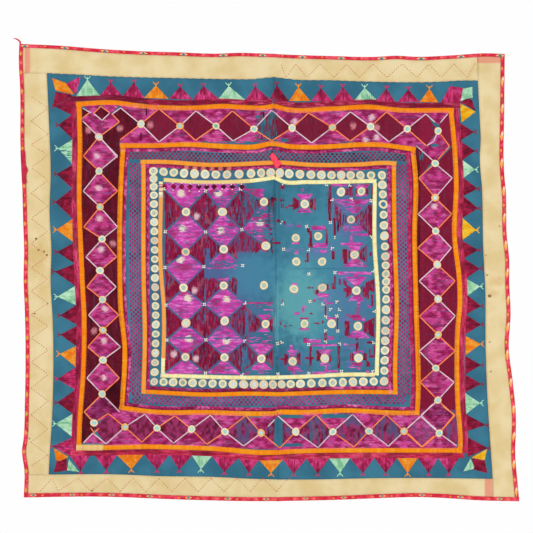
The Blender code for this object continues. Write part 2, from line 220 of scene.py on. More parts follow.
def seam_x(z):
    return SEAM_TOP_X - SEAM_LEAN * z


def column_lines(z):
    """Each line's x at the heights z."""
    return {
        "left_rim": upright(LEFT_EDGE, z) + RIM,
        "left_tuck": upright(PANEL_LEFT, z) - TUCK,
        "panel_left": upright(PANEL_LEFT, z),
        "crease_left": seam_x(z) - CREASE_HALF,
        "seam_lap": seam_x(z) - TUCK,
        "seam": seam_x(z),
        "crease_right": seam_x(z) + CREASE_HALF,
        "panel_right": upright(PANEL_RIGHT, z),
        "right_tuck": upright(PANEL_RIGHT, z) + TUCK,
        "right_rim": upright(RIGHT_EDGE, z) - RIM,
    }


def row_lines(x):
    """Each line's z at the places x."""
    return {
        "top_rim": level(TOP_EDGE, x) - RIM,
        "top_tuck": level(PANEL_TOP, x) + TUCK,
        "panel_top": level(PANEL_TOP, x),
        "scalloped_top": level(PANEL_TOP, x) + SCALLOP * np.abs(np.sin(np.pi * x / SCALLOP_LENGTH)),
        "fold_top": np.full_like(x, FOLD_Z + FOLD_HALF),
        "fold": np.full_like(x, FOLD_Z),
        "fold_bottom": np.full_like(x, FOLD_Z - FOLD_HALF),
        "panel_bottom": level(PANEL_BOTTOM, x),
        "bottom_tuck": level(PANEL_BOTTOM, x) - TUCK,
        "bottom_rim": level(BOTTOM_EDGE, x) + RIM,
    }


def hump(distance, half):
    """1 in the middle, falling softly to 0 at half and staying there."""
    return np.cos(np.clip(distance / half, -1, 1) * np.pi / 2) ** 2


def relief(x, z):
    """How far back the middle of the cloth hangs. Less is nearer the viewer."""
    drop = np.clip(-z / FULL_DROP, 0, 1)
    wave = (WAVE_TOP + (WAVE_BOTTOM - WAVE_TOP) * drop) * np.sin(2 * np.pi * x / WAVE_LENGTH + WAVE_START)
    roll = ROLL_DEPTH * np.sin(2 * np.pi * z / ROLL_LENGTH + ROLL_SLANT * x)
    corners = CORNER_LIFT * np.abs(x / HALF_WIDTH) ** 4 * drop ** 3
    ridge = SEAM_RIDGE * hump(x - seam_x(z), CREASE_HALF)
    fold = FOLD_DEPTH * hump(z - FOLD_Z, FOLD_HALF) * hump(x - FOLD_MIDDLE_X, FOLD_REACH)
    return wave + roll - corners - ridge + fold


def steps(lines):
    """For each line of cells: the two named lines it lies between, and how far along."""
    found = [
        (name, after, cell / cells)
        for (name, cells), (after, _) in zip(lines, lines[1:])
        for cell in range(cells)
    ]
    last = lines[-1][0]
    return found + [(last, last, 0.0)]


def net(column_cells, row_cells, lift):
    """A point for each crossing of the named lines, as an array [row, column, axis]."""
    columns = steps(column_cells)
    rows = steps(row_cells)
    x = np.zeros((len(rows), len(columns)))
    z = np.zeros_like(x)
    for _ in range(6):
        across = row_lines(x)
        for i, (above, below, t) in enumerate(rows):
            z[i] = across[above][i] * (1 - t) + across[below][i] * t
        down = column_lines(z)
        for j, (before, after, t) in enumerate(columns):
            x[:, j] = down[before][:, j] * (1 - t) + down[after][:, j] * t
    return np.stack([x, relief(x, z) + lift(x, z), z], axis=2)


def over(distance):
    """The rise of a strip this far out from its rim, which lies on its neighbour."""
    return -STRIP_RISE * hump(np.maximum(distance - TUCK, 0), TUCK)


def under(distance, depth):
    """How deep a cloth lies this far in from the rim of the cloth over it."""
    return depth * hump(np.maximum(distance, 0), TUCK)


def lap(x, z):
    """The left panel rises onto the right one at the seam, and the right one sinks beneath it."""
    return np.where(x < seam_x(z), -PANEL_SINK, PANEL_SINK) * hump(x - seam_x(z), TUCK)


def tucked(x, z):
    """How deep the panels lie near the cream strips that cover their rims."""
    inside = np.minimum(
        np.minimum(x - upright(PANEL_LEFT, z), upright(PANEL_RIGHT, z) - x),
        np.minimum(level(PANEL_TOP, x) - z, z - level(PANEL_BOTTOM, x)),
    )
    return under(inside, PANEL_SINK)


def face_y(x, z):
    """The front of the teal panels, which every stitch lies on."""
    return relief(x, z) + lap(x, z) + tucked(x, z) - PANEL_THICK / 2


def place(squares):
    """Columns and rows of the chart as places across and up the cloth."""
    return (np.array(squares, float) - (MIDDLE_COLUMN, TOP_ROW)) * (SQUARE, -SQUARE)


def ring_places():
    """Where the mirrors of the inner ring sit, each corner once."""
    places = []
    for first, last, count, side in RING_SIDES:
        start = np.array(RING_CORNERS[first])
        end = np.array(RING_CORNERS[last])
        along = (end - start) / np.linalg.norm(end - start)
        bow_way = np.array((0, 1)) if abs(along[0]) > abs(along[1]) else np.array((1, 0))
        for step in range(count + 1):
            drift = smooth(side["step"], side["drift"], step * MM)
            bow = smooth(side["step"], side["bow"], step * MM)
            place = start + (end - start) * step / count + along * drift + bow_way * bow
            if all(np.linalg.norm(place - other) > MIRROR_REACH for other in places):
                places.append(place)
    return places



def hump_noise(t):
    return t * t * (3 - 2 * t)


NOISE = np.random.default_rng(7).random((256, 256))


def cloudy(x, z, wide, tall, layer=0):
    """Smooth uneven patches from 0 to 1, this wide and this tall. Each layer has patches of its own."""
    across = np.asarray(x) / wide + 17.3 * layer + 900
    up = np.asarray(z) / tall + 31.7 * layer + 900
    i = np.floor(across).astype(int)
    j = np.floor(up).astype(int)
    s = hump_noise(across - i)
    t = hump_noise(up - j)
    low = NOISE[i % 256, j % 256] * (1 - s) + NOISE[(i + 1) % 256, j % 256] * s
    high = NOISE[i % 256, (j + 1) % 256] * (1 - s) + NOISE[(i + 1) % 256, (j + 1) % 256] * s
    return low * (1 - t) + high * t


def tint(hex_colour):
    """A colour as a screen shows it, made linear."""
    shown = np.array([int(hex_colour[i : i + 2], 16) / 255 for i in (1, 3, 5)])
    return np.where(shown <= 0.04045, shown / 12.92, ((shown + 0.055) / 1.055) ** 2.4)


def blend(first, second, share):
    """The first colour with a share of the second in it, place by place."""
    share = np.clip(np.asarray(share, float), 0, 1)[..., None]
    return first * (1 - share) + second * share


def add_piece(name, mesh, finish, stands_for=()):
    """Links a finished piece, which hangs with the rest of the part."""
    piece = bpy.data.objects.new(name, mesh)
    bpy.context.scene.collection.objects.link(piece)
    mesh.materials.append(finish)
    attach(piece, "root")
    if stands_for:
        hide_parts(*stands_for)
    return piece


def mesh_from(bm, name):
    mesh = bpy.data.meshes.new(name)
    bm.to_mesh(mesh)
    bm.free()
    mesh.shade_smooth()
    return mesh


def thicken(piece, thick):
    solid = piece.modifiers.new("Cloth thickness", "SOLIDIFY")
    solid.thickness = thick
    solid.offset = 0


def grid_mesh(name, points, wrap=None):
    """A mesh through an array of points [row, column, axis]. A wrap gives each point's place on the cloth."""
    rows, columns = points.shape[:2]
    bm = bmesh.new()
    bmesh.ops.create_grid(bm, x_segments=columns - 1, y_segments=rows - 1, size=0.5)
    spots = {}
    for vertex in bm.verts:
        column = round((vertex.co.x + 0.5) * (columns - 1))
        row = round((0.5 - vertex.co.y) * (rows - 1))
        spots[vertex] = (row, column)
        vertex.co = points[row, column]
    bmesh.ops.recalc_face_normals(bm, faces=bm.faces)
    if sum(face.normal.y for face in bm.faces) > 0:
        bmesh.ops.reverse_faces(bm, faces=bm.faces)
    if wrap is not None:
        layer = bm.loops.layers.uv.new("wrap")
        for face in bm.faces:
            for corner in face.loops:
                corner[layer].uv = wrap[spots[corner.vert]]
    return mesh_from(bm, name)


def new_finish(name):
    """A new material and its shader."""
    finish = bpy.data.materials.new(name)
    finish.use_nodes = True
    return finish, finish.node_tree.nodes["Principled BSDF"]


def add_node(finish, kind, sockets, output=0, **settings):
    """Adds a node with its settings, its values and its links, and gives its output."""
    made = finish.node_tree.nodes.new("ShaderNode" + kind)
    for setting, value in settings.items():
        setattr(made, setting, value)
    for name, value in sockets.items():
        if isinstance(value, bpy.types.NodeSocket):
            finish.node_tree.links.new(value, made.inputs[name])
        elif value is not None:
            made.inputs[name].default_value = value
    return made.outputs[output]


def colour(hex_colour):
    return (*tint(hex_colour), 1.0)


def mixed(finish, share, first, second):
    """One colour laid over another by a share."""
    return add_node(finish, "Mix", {0: share, 6: first, 7: second}, output=2, data_type="RGBA")


def maths(finish, operation, first, second=None, third=None):
    return add_node(finish, "Math", {0: first, 1: second, 2: third}, operation=operation)


def stepped(finish, value, low, high):
    """0 below low and 1 above high, softly between. With low above high it falls."""
    return add_node(
        finish, "MapRange", {"Value": value, "From Min": low, "From Max": high}, interpolation_type="SMOOTHSTEP"
    )


def on_cloth(finish):
    """Places on the cloth as they are in the part, in metres, and their x and z."""
    spot = add_node(finish, "TexCoord", {}, output=3)
    across = add_node(finish, "SeparateXYZ", {"Vector": spot}, output=0)
    up = add_node(finish, "SeparateXYZ", {"Vector": spot}, output=2)
    return spot, across, up


def patches(finish, spot, size, detail=3.0):
    """Uneven patches of about this size, from 0 to 1."""
    return add_node(finish, "TexNoise", {"Vector": spot, "Scale": 1 / size, "Detail": detail})


def weave_height(finish, spot, thread):
    """Threads over and under each other, this far apart, as a height from 0 to 1."""
    rows = 0.314159 / thread  # a wave texture repeats about every 0.314 of a unit at a scale of 1
    warp = add_node(
        finish, "TexWave", {"Vector": spot, "Scale": rows, "Distortion": 0.6, "Detail Scale": 0.4},
        output=1, wave_type="BANDS", bands_direction="X",
    )
    weft = add_node(
        finish, "TexWave", {"Vector": spot, "Scale": rows, "Distortion": 0.6, "Detail Scale": 0.4},
        output=1, wave_type="BANDS", bands_direction="Z",
    )
    return maths(finish, "MULTIPLY", warp, weft)


def woven(finish, shader, spot, base, thread, deep, relief_strength):
    """Gives a shader its base colour with painted shade in the hollows between threads, and their bump."""
    height = weave_height(finish, spot, thread)
    # Painted shade: the base colour is mixed towards black by deep in the hollows of the weave
    shaded = mixed(finish, maths(finish, "MULTIPLY", stepped(finish, height, 0.35, 0.0), deep), base, (0, 0, 0, 1))
    bump = add_node(finish, "Bump", {"Height": height, "Strength": relief_strength, "Distance": 0.3 * MM})
    links = finish.node_tree.links
    links.new(shaded, shader.inputs["Base Color"])
    links.new(bump, shader.inputs["Normal"])


def blot(finish, across, up, column, row, wide, tall, ragged, soft=0.4):
    """1 inside an oval on the chart and 0 outside, with a ragged soft rim: a stain, or a line of painted crease shade
    or light.
    """
    x, z = place((column, row))
    over_x = maths(finish, "DIVIDE", maths(finish, "SUBTRACT", across, float(x)), wide * SQUARE)
    over_z = maths(finish, "DIVIDE", maths(finish, "SUBTRACT", up, float(z)), tall * SQUARE)
    far = maths(finish, "SQRT", maths(finish, "ADD", maths(finish, "POWER", over_x, 2.0), maths(finish, "POWER", over_z, 2.0)))
    return stepped(finish, maths(finish, "ADD", far, ragged), 1.7, 1.7 - soft)


def teal_cotton():
    """Hand-woven cotton dyed teal: dull, a little uneven, paler where the silk has worn away, with lines of painted
    shade and light along the seam and the old crease.
    """
    finish, shader = new_finish("teal cotton, plain weave")
    spot, across, up = on_cloth(finish)
    cloud = patches(finish, spot, 60 * MM)
    base = mixed(finish, stepped(finish, cloud, 0.35, 0.7), colour("#2C647C"), colour("#38768E"))
    ragged = patches(finish, spot, 14 * MM)
    for column, row, wide, tall, hex_colour, strength in TEAL_STAINS_AND_PAINTED_CREASES:
        mask = blot(finish, across, up, column, row, wide, tall, ragged, 0.8)
        base = mixed(finish, maths(finish, "MULTIPLY", mask, strength), base, colour(hex_colour))
    woven(finish, shader, spot, base, 1.2 * MM, 0.22, 0.5)
    shader.inputs["Roughness"].default_value = 0.92
    shader.inputs["Specular IOR Level"].default_value = 0.25
    return finish


def cream_cotton():
    """Old unbleached cotton: matt, yellowed in clouds, with brown stains and pink stripes woven at its ends."""
    finish, shader = new_finish("cream cotton, plain weave")
    spot, across, up = on_cloth(finish)
    cloud = patches(finish, spot, 45 * MM)
    base = mixed(finish, stepped(finish, cloud, 0.3, 0.7), colour("#D6BE88"), colour("#E2D0A4"))
    fleck = patches(finish, spot, 7 * MM, 5.0)
    base = mixed(finish, stepped(finish, fleck, 0.62, 0.95), base, colour("#CDB27C"))
    ragged = patches(finish, spot, 9 * MM)
    for column, row, wide, tall, hex_colour, strength in CREAM_STAINS:
        mask = blot(finish, across, up, column, row, wide, tall, ragged, 1.0 if wide > 4 else 0.4)
        base = mixed(finish, maths(finish, "MULTIPLY", mask, strength), base, colour(hex_colour))
    for along, low, high, other, other_low, other_high in END_STRIPES:
        first = across if along == "x" else up
        second = up if along == "x" else across
        rise = stepped(finish, first, low - 1.5 * MM, low + 1.5 * MM)
        inside = maths(finish, "MULTIPLY", rise, stepped(finish, first, high + 3 * MM, high - 4 * MM))
        inside = maths(finish, "MULTIPLY", inside, stepped(finish, second, other_low - 1 * MM, other_low + 1 * MM))
        inside = maths(finish, "MULTIPLY", inside, stepped(finish, second, other_high + 1 * MM, other_high - 1 * MM))
        base = mixed(finish, maths(finish, "MULTIPLY", inside, 0.75), base, colour("#DE8270"))
    woven(finish, shader, spot, base, 1.2 * MM, 0.16, 0.5)
    shader.inputs["Roughness"].default_value = 0.92
    shader.inputs["Specular IOR Level"].default_value = 0.25
    return finish


TEAL_STAINS_AND_PAINTED_CREASES = (
    (325, 280, 58, 104, "#4388A0", 0.8),
    (212, 280, 60, 125, "#4E5C90", 0.8),
    (352, 215, 26, 34, "#54689A", 0.55),
    (354, 300, 24, 80, "#54689A", 0.45),
    (322, 250, 16, 10, "#5C6EA2", 0.5),
    (322, 300, 14, 18, "#5C6EA2", 0.45),
    (294, 360, 18, 14, "#56689C", 0.45),
    (300, 302, 30, 42, "#5FA6AA", 0.7),
    (255, 275, 30, 30, "#3F86A0", 0.7),
    # Painted shade: three thin dark lines along the seam's crease
    (274, 205, 2.0, 26, "#26546B", 0.7),
    (279, 205, 1.2, 22, "#2B5C72", 0.6),
    (269, 215, 1.3, 22, "#2A2F45", 0.6),
    (432, 190, 12, 30, "#3A7A93", 0.4),
    # Painted light: a pale strip on the right side of the seam's ridge
    (277, 318, 2.2, 40, "#62A6B4", 0.6),
    # Painted shade: a thin dark line along the old crease across the right panel
    (326, 268.6, 42, 0.9, "#2F6C86", 0.6),
    (402.5, 280, 6, 124, "#60789A", 0.6),
    (133.5, 280, 7, 124, "#5C7698", 0.6),
    (272, 401, 132, 5, "#56769A", 0.5),
    (272, 156, 132, 5, "#4C7894", 0.5),
)
CREAM_STAINS = (
    (38, 258, 13, 22, "#C9A55E", 0.55),
    (44, 292, 8, 16, "#CDA962", 0.4),
    (38, 322, 9, 14, "#D2B272", 0.35),
    (36, 238.6, 1.3, 1.3, "#6B5230", 0.9),
    (489.5, 296, 2, 1.6, "#6E4228", 0.9),
    (498, 281, 11, 6, "#CFA566", 0.45),
    (494, 294, 6, 5, "#CDA468", 0.4),
    (487, 275, 1, 1, "#8A6A3A", 0.8),
    (38.5, 250, 1, 1, "#7A5A34", 0.85),
    (44, 251.5, 1, 0.9, "#7A5A34", 0.85),
    (47, 255, 1.1, 1.1, "#6A4A2C", 0.85),
    (47.5, 303.5, 1, 1, "#80603A", 0.8),
    (34.6, 313.6, 1.3, 1, "#80603A", 0.8),
    (489.5, 342, 1.1, 1.0, "#9A7A48", 0.8),
    (490.7, 371.5, 1.0, 1.0, "#9A7A48", 0.8),
    (486, 255.5, 1.0, 0.9, "#A98850", 0.8),
    (499.5, 226, 1.0, 1.0, "#A98850", 0.8),
    (92, 490.5, 1.6, 1.0, "#A58450", 0.8),
    (29.6, 438.5, 1.1, 1.1, "#9A7A48", 0.8),
    (350, 80, 26, 5, "#D3B777", 0.35),
    (200, 84, 30, 5, "#D8BF84", 0.3),
    (495, 420, 8, 30, "#D6BC80", 0.3),
    (36, 150, 8, 26, "#E2CB97", 0.3),
)
# Each stripe: the axis it lies across, its two sides, and its ends on the other axis, in metres
END_STRIPES = (
    ("x", *(place(((25, 0), (30.5, 0)))[:, 0]), "z", *(place(((0, 73), (0, 45)))[:, 1])),
    ("z", *(place(((0, 63), (0, 56.5)))[:, 1]), "x", *(place(((477, 0), (505, 0)))[:, 0])),
    ("x", *(place(((484.6, 0), (492.7, 0)))[:, 0]), "z", *(place(((0, 500), (0, 478)))[:, 1])),
)


def hung_sheet(name, node, columns, rows, lift, thick, finish, wrap=None):
    """A cloth of the hanging, hung in its place and given its thickness."""
    points = net(columns, rows, lift)
    piece = add_piece(name, grid_mesh(name, points, wrap), finish, (node,))
    thicken(piece, thick)
    return piece


def add_panels():
    teal = teal_cotton()
    rows = (
        ("top_tuck", 2), ("panel_top", 58), ("fold_top", 4), ("fold", 4), ("fold_bottom", 62),
        ("panel_bottom", 2), ("bottom_tuck", 0),
    )
    left = (("left_tuck", 2), ("panel_left", 66), ("crease_left", 6), ("seam", 0))
    right = (("seam_lap", 2), ("seam", 6), ("crease_right", 60), ("panel_right", 2), ("right_tuck", 0))

    def left_lift(x, z):
        return tucked(x, z) - PANEL_SINK * hump(x - seam_x(z), TUCK)

    def right_lift(x, z):
        return tucked(x, z) + PANEL_SINK * hump(np.maximum(x - seam_x(z), 0), TUCK)

    hung_sheet("panel_left", "ground_left", left, rows, left_lift, PANEL_THICK, teal)
    hung_sheet("panel_right", "ground_right", right, rows, right_lift, PANEL_THICK, teal)


def add_strips():
    """The four cream strips. The right one lies over the top and bottom ones, and these over the left one."""
    cream = cream_cotton()

    def past_right(x, z):
        return under(upright(PANEL_RIGHT, z) - x, STRIP_SINK)

    for name, node, columns, rows, lift in (
        (
            "strip_left", "border_left", (("left_rim", 9), ("panel_left", 0)), (("top_tuck", 130), ("bottom_tuck", 0)),
            lambda x, z: over(upright(PANEL_LEFT, z) - x)
            + under(level(PANEL_TOP, x) - z, STRIP_SINK) + under(z - level(PANEL_BOTTOM, x), STRIP_SINK),
        ),
        (
            "strip_top", "border_top", (("left_rim", 236), ("right_tuck", 0)), (("top_rim", 9), ("scalloped_top", 0)),
            lambda x, z: over(z - level(PANEL_TOP, x)) + past_right(x, z),
        ),
        (
            "strip_bottom", "border_bottom", (("left_rim", 150), ("right_tuck", 0)), (("panel_bottom", 7), ("bottom_rim", 0)),
            lambda x, z: over(level(PANEL_BOTTOM, x) - z) + past_right(x, z),
        ),
        (
            "strip_right", "border_right", (("panel_right", 9), ("right_rim", 0)), (("top_rim", 150), ("bottom_rim", 0)),
            lambda x, z: over(x - upright(PANEL_RIGHT, z)),
        ),
    ):
        hung_sheet(name, node, columns, rows, lift, STRIP_THICK, cream)


# The binding is a folded strip. Its section: how far in from its folded edge, as a share of its width, and depth
BINDING_SECTION = (
    (1.0, -1.2), (0.82, -1.2), (0.64, -1.2), (0.46, -1.2), (0.28, -1.2), (0.14, -1.1), (0.04, -0.7), (0.0, 0.0),
    (0.04, 0.7), (0.14, 1.1), (0.28, 1.2), (0.64, 1.2), (1.0, 1.2),
)
BINDING_CLOTH = 0.6 * MM
BINDING_STEP = 3 * MM


def outer_faces_first(mesh):
    """Turns a folded strip so that its faces point away from the cloth inside it."""
    bm = bmesh.new()
    bm.from_mesh(mesh)
    front = [face for face in bm.faces if face.calc_center_median().y < relief(*face.calc_center_median().xz)]
    if sum(face.normal.y for face in front) > 0:
        bmesh.ops.reverse_faces(bm, faces=bm.faces)
    bm.to_mesh(mesh)
    bm.free()
    mesh.shade_smooth()


def add_binding(side, edge, width, inner, start, end, finish):
    """One length of the binding, folded round the rim of the cream cloth. Inner is its side towards the middle."""
    upright_side = side in ("left", "right")
    count = round(abs(end - start) / BINDING_STEP)
    along = np.linspace(start, end, count + 1)
    x = upright(edge, along) if upright_side else along
    z = along if upright_side else level(edge, along)
    way = np.gradient(np.stack([x, z], axis=1), axis=0)
    way /= np.linalg.norm(way, axis=1, keepdims=True)
    inward = np.stack([-way[:, 1], way[:, 0]], axis=1)
    inward *= np.sign(inward @ np.array(inner))[:, None]
    in_share = np.array([share for share, _ in BINDING_SECTION])
    depth = np.array([deep for _, deep in BINDING_SECTION]) * MM
    if upright_side:
        depth = depth * 0.82
    points = np.zeros((count + 1, len(BINDING_SECTION), 3))
    ripple = 0.10 * MM * np.sin(along / (3.1 * MM)) + 0.25 * MM * (cloudy(x, z, 9 * MM, 9 * MM, 3) - 0.5)
    reach = width * in_share[None, :] + ripple[:, None] * in_share[None, :]
    points[..., 0] = x[:, None] + inward[:, :1] * reach
    points[..., 2] = z[:, None] + inward[:, 1:] * reach
    puff = 0.22 * MM * (cloudy(x, z, 6 * MM, 6 * MM, 4) - 0.5)[:, None] * np.sin(np.pi * in_share)[None, :]
    points[..., 1] = relief(points[..., 0], points[..., 2]) + depth[None, :] + puff
    run = np.concatenate([[0], np.cumsum(np.linalg.norm(np.diff(np.stack([x, z], axis=1), axis=0), axis=1))])
    wrap = np.zeros((count + 1, len(BINDING_SECTION), 2))
    wrap[..., 0] = (run[0] + np.abs(along - along.min()))[:, None]
    wrap[..., 1] = np.linspace(0, 1, len(BINDING_SECTION))[None, :]
    name = f"binding_{side}_cloth"
    mesh = grid_mesh(name, points, wrap)
    outer_faces_first(mesh)
    piece = add_piece(name, mesh, finish, (f"binding_{side}",))
    thicken(piece, BINDING_CLOTH)
    return piece


def repeat(finish, along, period, first, long_half, across, middle, wide_half):
    """1 inside a row of lozenges on the wrap map, the first of them this far along."""
    turns = maths(finish, "DIVIDE", maths(finish, "SUBTRACT", along, first - period / 2), period)
    near = maths(finish, "ABSOLUTE", maths(finish, "SUBTRACT", maths(finish, "FRACT", turns), 0.5))
    near = maths(finish, "MULTIPLY", near, period / long_half)
    off = maths(finish, "DIVIDE", maths(finish, "ABSOLUTE", maths(finish, "SUBTRACT", across, middle)), wide_half)
    return stepped(finish, maths(finish, "ADD", near, off), 1.12, 0.88)


def printed_cotton(side, marks):
    """Thin red cotton printed with small marks: dull, faded in blotches, its print a little out of line."""
    finish, shader = new_finish(f"printed red cotton, {side}")
    spot, across, up = on_cloth(finish)
    wrap = add_node(finish, "UVMap", {}, uv_map="wrap")
    along = add_node(finish, "SeparateXYZ", {"Vector": wrap}, output=0)
    round_it = add_node(finish, "SeparateXYZ", {"Vector": wrap}, output=1)
    blotch = patches(finish, spot, 11 * MM, 4.0)
    base = mixed(finish, stepped(finish, blotch, 0.40, 0.66), colour("#CC1A34"), colour("#EA4E62"))
    dark = patches(finish, spot, 5 * MM, 4.0)
    base = mixed(finish, stepped(finish, dark, 0.56, 0.8), base, colour("#A81030"))
    wander = maths(finish, "MULTIPLY", maths(finish, "SUBTRACT", patches(finish, spot, 25 * MM), 0.5), 7 * MM)
    shaken = maths(finish, "ADD", along, wander)
    for hex_colour, period, first, long_half, middle, wide_half, strength in marks:
        mask = repeat(finish, shaken, period, first, long_half, round_it, middle, wide_half)
        base = mixed(finish, maths(finish, "MULTIPLY", mask, strength), base, colour(hex_colour))
    woven(finish, shader, spot, base, 0.9 * MM, 0.15, 0.4)
    shader.inputs["Roughness"].default_value = 0.85
    shader.inputs["Specular IOR Level"].default_value = 0.3
    return finish


# The print on each side: colour, repeat, first mark and half length in metres, then its place and half width
# across the folded strip, whose front is from 0 to 0.5, and its strength
PRINTS = {
    "top": (
        ("#F2963C", 75.2 * MM, 11 * MM, 9 * MM, 0.22, 0.2, 0.8),
        ("#F0D080", 75.2 * MM, 11 * MM, 7.6 * MM, 0.2, 0.2, 0.95),
        ("#5C7487", 75.2 * MM, 11 * MM, 4.2 * MM, 0.16, 0.26, 1.0),
        ("#F0943A", 75.2 * MM, 48.6 * MM, 2.6 * MM, 0.28, 0.12, 0.8),
    ),
    "left": (
        ("#F2963C", 36 * MM, 12 * MM, 5 * MM, 0.26, 0.2, 0.75),
        ("#B8A83C", 36 * MM, 12 * MM, 3 * MM, 0.26, 0.13, 0.9),
        ("#F2A04A", 36 * MM, 30 * MM, 2.2 * MM, 0.2, 0.1, 0.6),
    ),
    "right": (
        ("#F0B25A", 52 * MM, 14 * MM, 9 * MM, 0.2, 0.2, 0.85),
        ("#F3D9B0", 52 * MM, 20 * MM, 5 * MM, 0.3, 0.14, 0.85),
        ("#F0A04A", 52 * MM, 39 * MM, 4 * MM, 0.16, 0.16, 0.75),
        ("#8C6A28", 104 * MM, 30 * MM, 3 * MM, 0.26, 0.12, 0.7),
    ),
    "bottom": (
        ("#F0B860", 73.7 * MM, 18 * MM, 7 * MM, 0.22, 0.2, 0.85),
        ("#5C7487", 73.7 * MM, 18 * MM, 3.4 * MM, 0.2, 0.2, 0.9),
        ("#E58A30", 36.8 * MM, 36 * MM, 3.2 * MM, 0.26, 0.14, 0.7),
    ),
}


def add_bindings():
    """The side lengths end inside the folds of the top and bottom ones."""
    top = TOP_EDGE["x"]
    sides = {
        "left": (LEFT_EDGE, BINDING_SIDE, (1, 0), float(level(TOP_EDGE, top.min())) - 3 * MM, -0.8395),
        "right": (RIGHT_EDGE, BINDING_SIDE, (-1, 0), -3 * MM, -0.8465),
        "top": (TOP_EDGE, BINDING_TOP, (0, -1), float(top.min()), float(top.max())),
        "bottom": (BOTTOM_EDGE, BINDING_BOTTOM, (0, 1), float(BOTTOM_EDGE["x"].min()), float(BOTTOM_EDGE["x"].max())),
    }
    for side, (edge, width, inner, start, end) in sides.items():
        add_binding(side, edge, width, inner, start, end, printed_cotton(side, PRINTS[side]))


# The plain mend over the left binding
MEND_TOP = -184 * MM
MEND_BOTTOM = -245 * MM
MEND_RISE = 1.9 * MM


def plain_cotton(name, base_colour, faded_colour):
    """A scrap of dyed cotton: dull, and faded in soft clouds."""
    finish, shader = new_finish(name)
    spot, across, up = on_cloth(finish)
    cloud = patches(finish, spot, 9 * MM, 4.0)
    base = mixed(finish, stepped(finish, cloud, 0.35, 0.7), colour(base_colour), colour(faded_colour))
    woven(finish, shader, spot, base, 0.9 * MM, 0.2, 0.5)
    shader.inputs["Roughness"].default_value = 0.88
    shader.inputs["Specular IOR Level"].default_value = 0.3
    return finish


# Its section: how far in from the folded edge, as a share of its width, and depth. It starts behind the binding
MEND_SECTION = (
    (0.4, 1.8), (0.15, 1.75), (0.02, 1.3), (-0.04, 0.5), (-0.04, -0.6), (0.02, -1.4), (0.12, -1.85), (0.3, -1.95),
    (0.5, -1.95), (0.7, -1.95), (0.86, -1.9), (1.0, -1.6),
)


def add_mend():
    """A crimson scrap folded round the left binding, which bulges onto the cream strip."""
    rows = 41
    z = np.linspace(MEND_TOP, MEND_BOTTOM, rows)
    share = np.array([along for along, _ in MEND_SECTION])
    depth = np.array([deep for _, deep in MEND_SECTION]) * MM
    width = BINDING_SIDE + 1.2 * MM + 3.2 * MM * hump(z - place((0, 170))[1], 11 * MM)
    width = width + 0.8 * MM * (cloudy(z, z, 6 * MM, 6 * MM, 5) - 0.5)
    points = np.zeros((rows, len(share), 3))
    points[..., 0] = upright(LEFT_EDGE, z)[:, None] + width[:, None] * share
    points[..., 2] = z[:, None]
    x = points[..., 0]
    crumple = 0.35 * MM * (cloudy(x, points[..., 2], 5 * MM, 7 * MM, 5) - 0.5)
    points[..., 1] = relief(x, points[..., 2]) + depth + crumple
    mesh = grid_mesh("mend", points)
    outer_faces_first(mesh)
    finish = plain_cotton("crimson cotton, plain weave", "#B81838", "#D03350")
    piece = add_piece("mend", mesh, finish, ("binding_mend",))
    thicken(piece, 0.5 * MM)


def add_scrap():
    """The bright red scrap sewn over the seam: crumpled, with its corners turned a little."""
    cells = 16
    x = PATCH_CORNERS["x"]
    z = PATCH_CORNERS["z"]
    points = np.zeros((cells + 1, cells + 1, 3))
    for i in range(cells + 1):
        for j in range(cells + 1):
            down = i / cells
            aside = j / cells
            share = np.array(((1 - down) * (1 - aside), (1 - down) * aside, down * aside, down * (1 - aside)))
            points[i, j, 0] = x @ share
            points[i, j, 2] = z @ share
    across = points[..., 0].copy()
    up = points[..., 2].copy()
    points[..., 0] += 1.4 * MM * (cloudy(across, up, 5 * MM, 5 * MM, 6) - 0.5)
    points[..., 2] += 1.4 * MM * (cloudy(across, up, 5 * MM, 5 * MM, 7) - 0.5)
    points[..., 1] = relief(across, up) - 2.3 * MM + 1.2 * MM * (cloudy(across, up, 3.4 * MM, 5 * MM, 8) - 0.5)
    finish = plain_cotton("bright red cotton, plain weave", "#F2203F", "#FF4A62")
    piece = add_piece("red_scrap", grid_mesh("red_scrap", points), finish, ("seam_patch",))
    thicken(piece, 0.5 * MM)


def tube_mesh(name, middles, radii, sides, lobes=0.0, turns=0.0):
    """A closed tube along the middles, which lie in the plane of the cloth. Lobes give it two twisted strands."""
    count = len(middles)
    way = np.gradient(middles, axis=0)
    way /= np.linalg.norm(way, axis=1, keepdims=True)
    aside = np.cross(way, (0, 1, 0))
    aside /= np.linalg.norm(aside, axis=1, keepdims=True)
    out = np.cross(aside, way)
    angles = np.linspace(0, 2 * np.pi, sides + 1)
    run = np.concatenate([[0], np.cumsum(np.linalg.norm(np.diff(middles, axis=0), axis=1))])
    twist = 2 * np.pi * turns * run / run[-1]
    points = np.zeros((count, sides + 1, 3))
    for j, angle in enumerate(angles):
        swell = 1 + lobes * np.cos(2 * (angle - twist))
        points[:, j] = (
            middles + aside * (radii * swell * math.cos(angle))[:, None] + out * (radii * swell * math.sin(angle))[:, None]
        )
    wrap = np.zeros((count, sides + 1, 2))
    wrap[..., 0] = run[:, None]
    wrap[..., 1] = angles[None, :] / (2 * np.pi)
    mesh = grid_mesh(name, points, wrap)
    bm = bmesh.new()
    bm.from_mesh(mesh)
    bmesh.ops.remove_doubles(bm, verts=bm.verts, dist=0.02 * MM)
    rims = [edge for edge in bm.edges if edge.is_boundary]
    bmesh.ops.holes_fill(bm, edges=rims, sides=0)
    bmesh.ops.recalc_face_normals(bm, faces=bm.faces)
    bm.to_mesh(mesh)
    bm.free()
    mesh.shade_smooth()
    return mesh


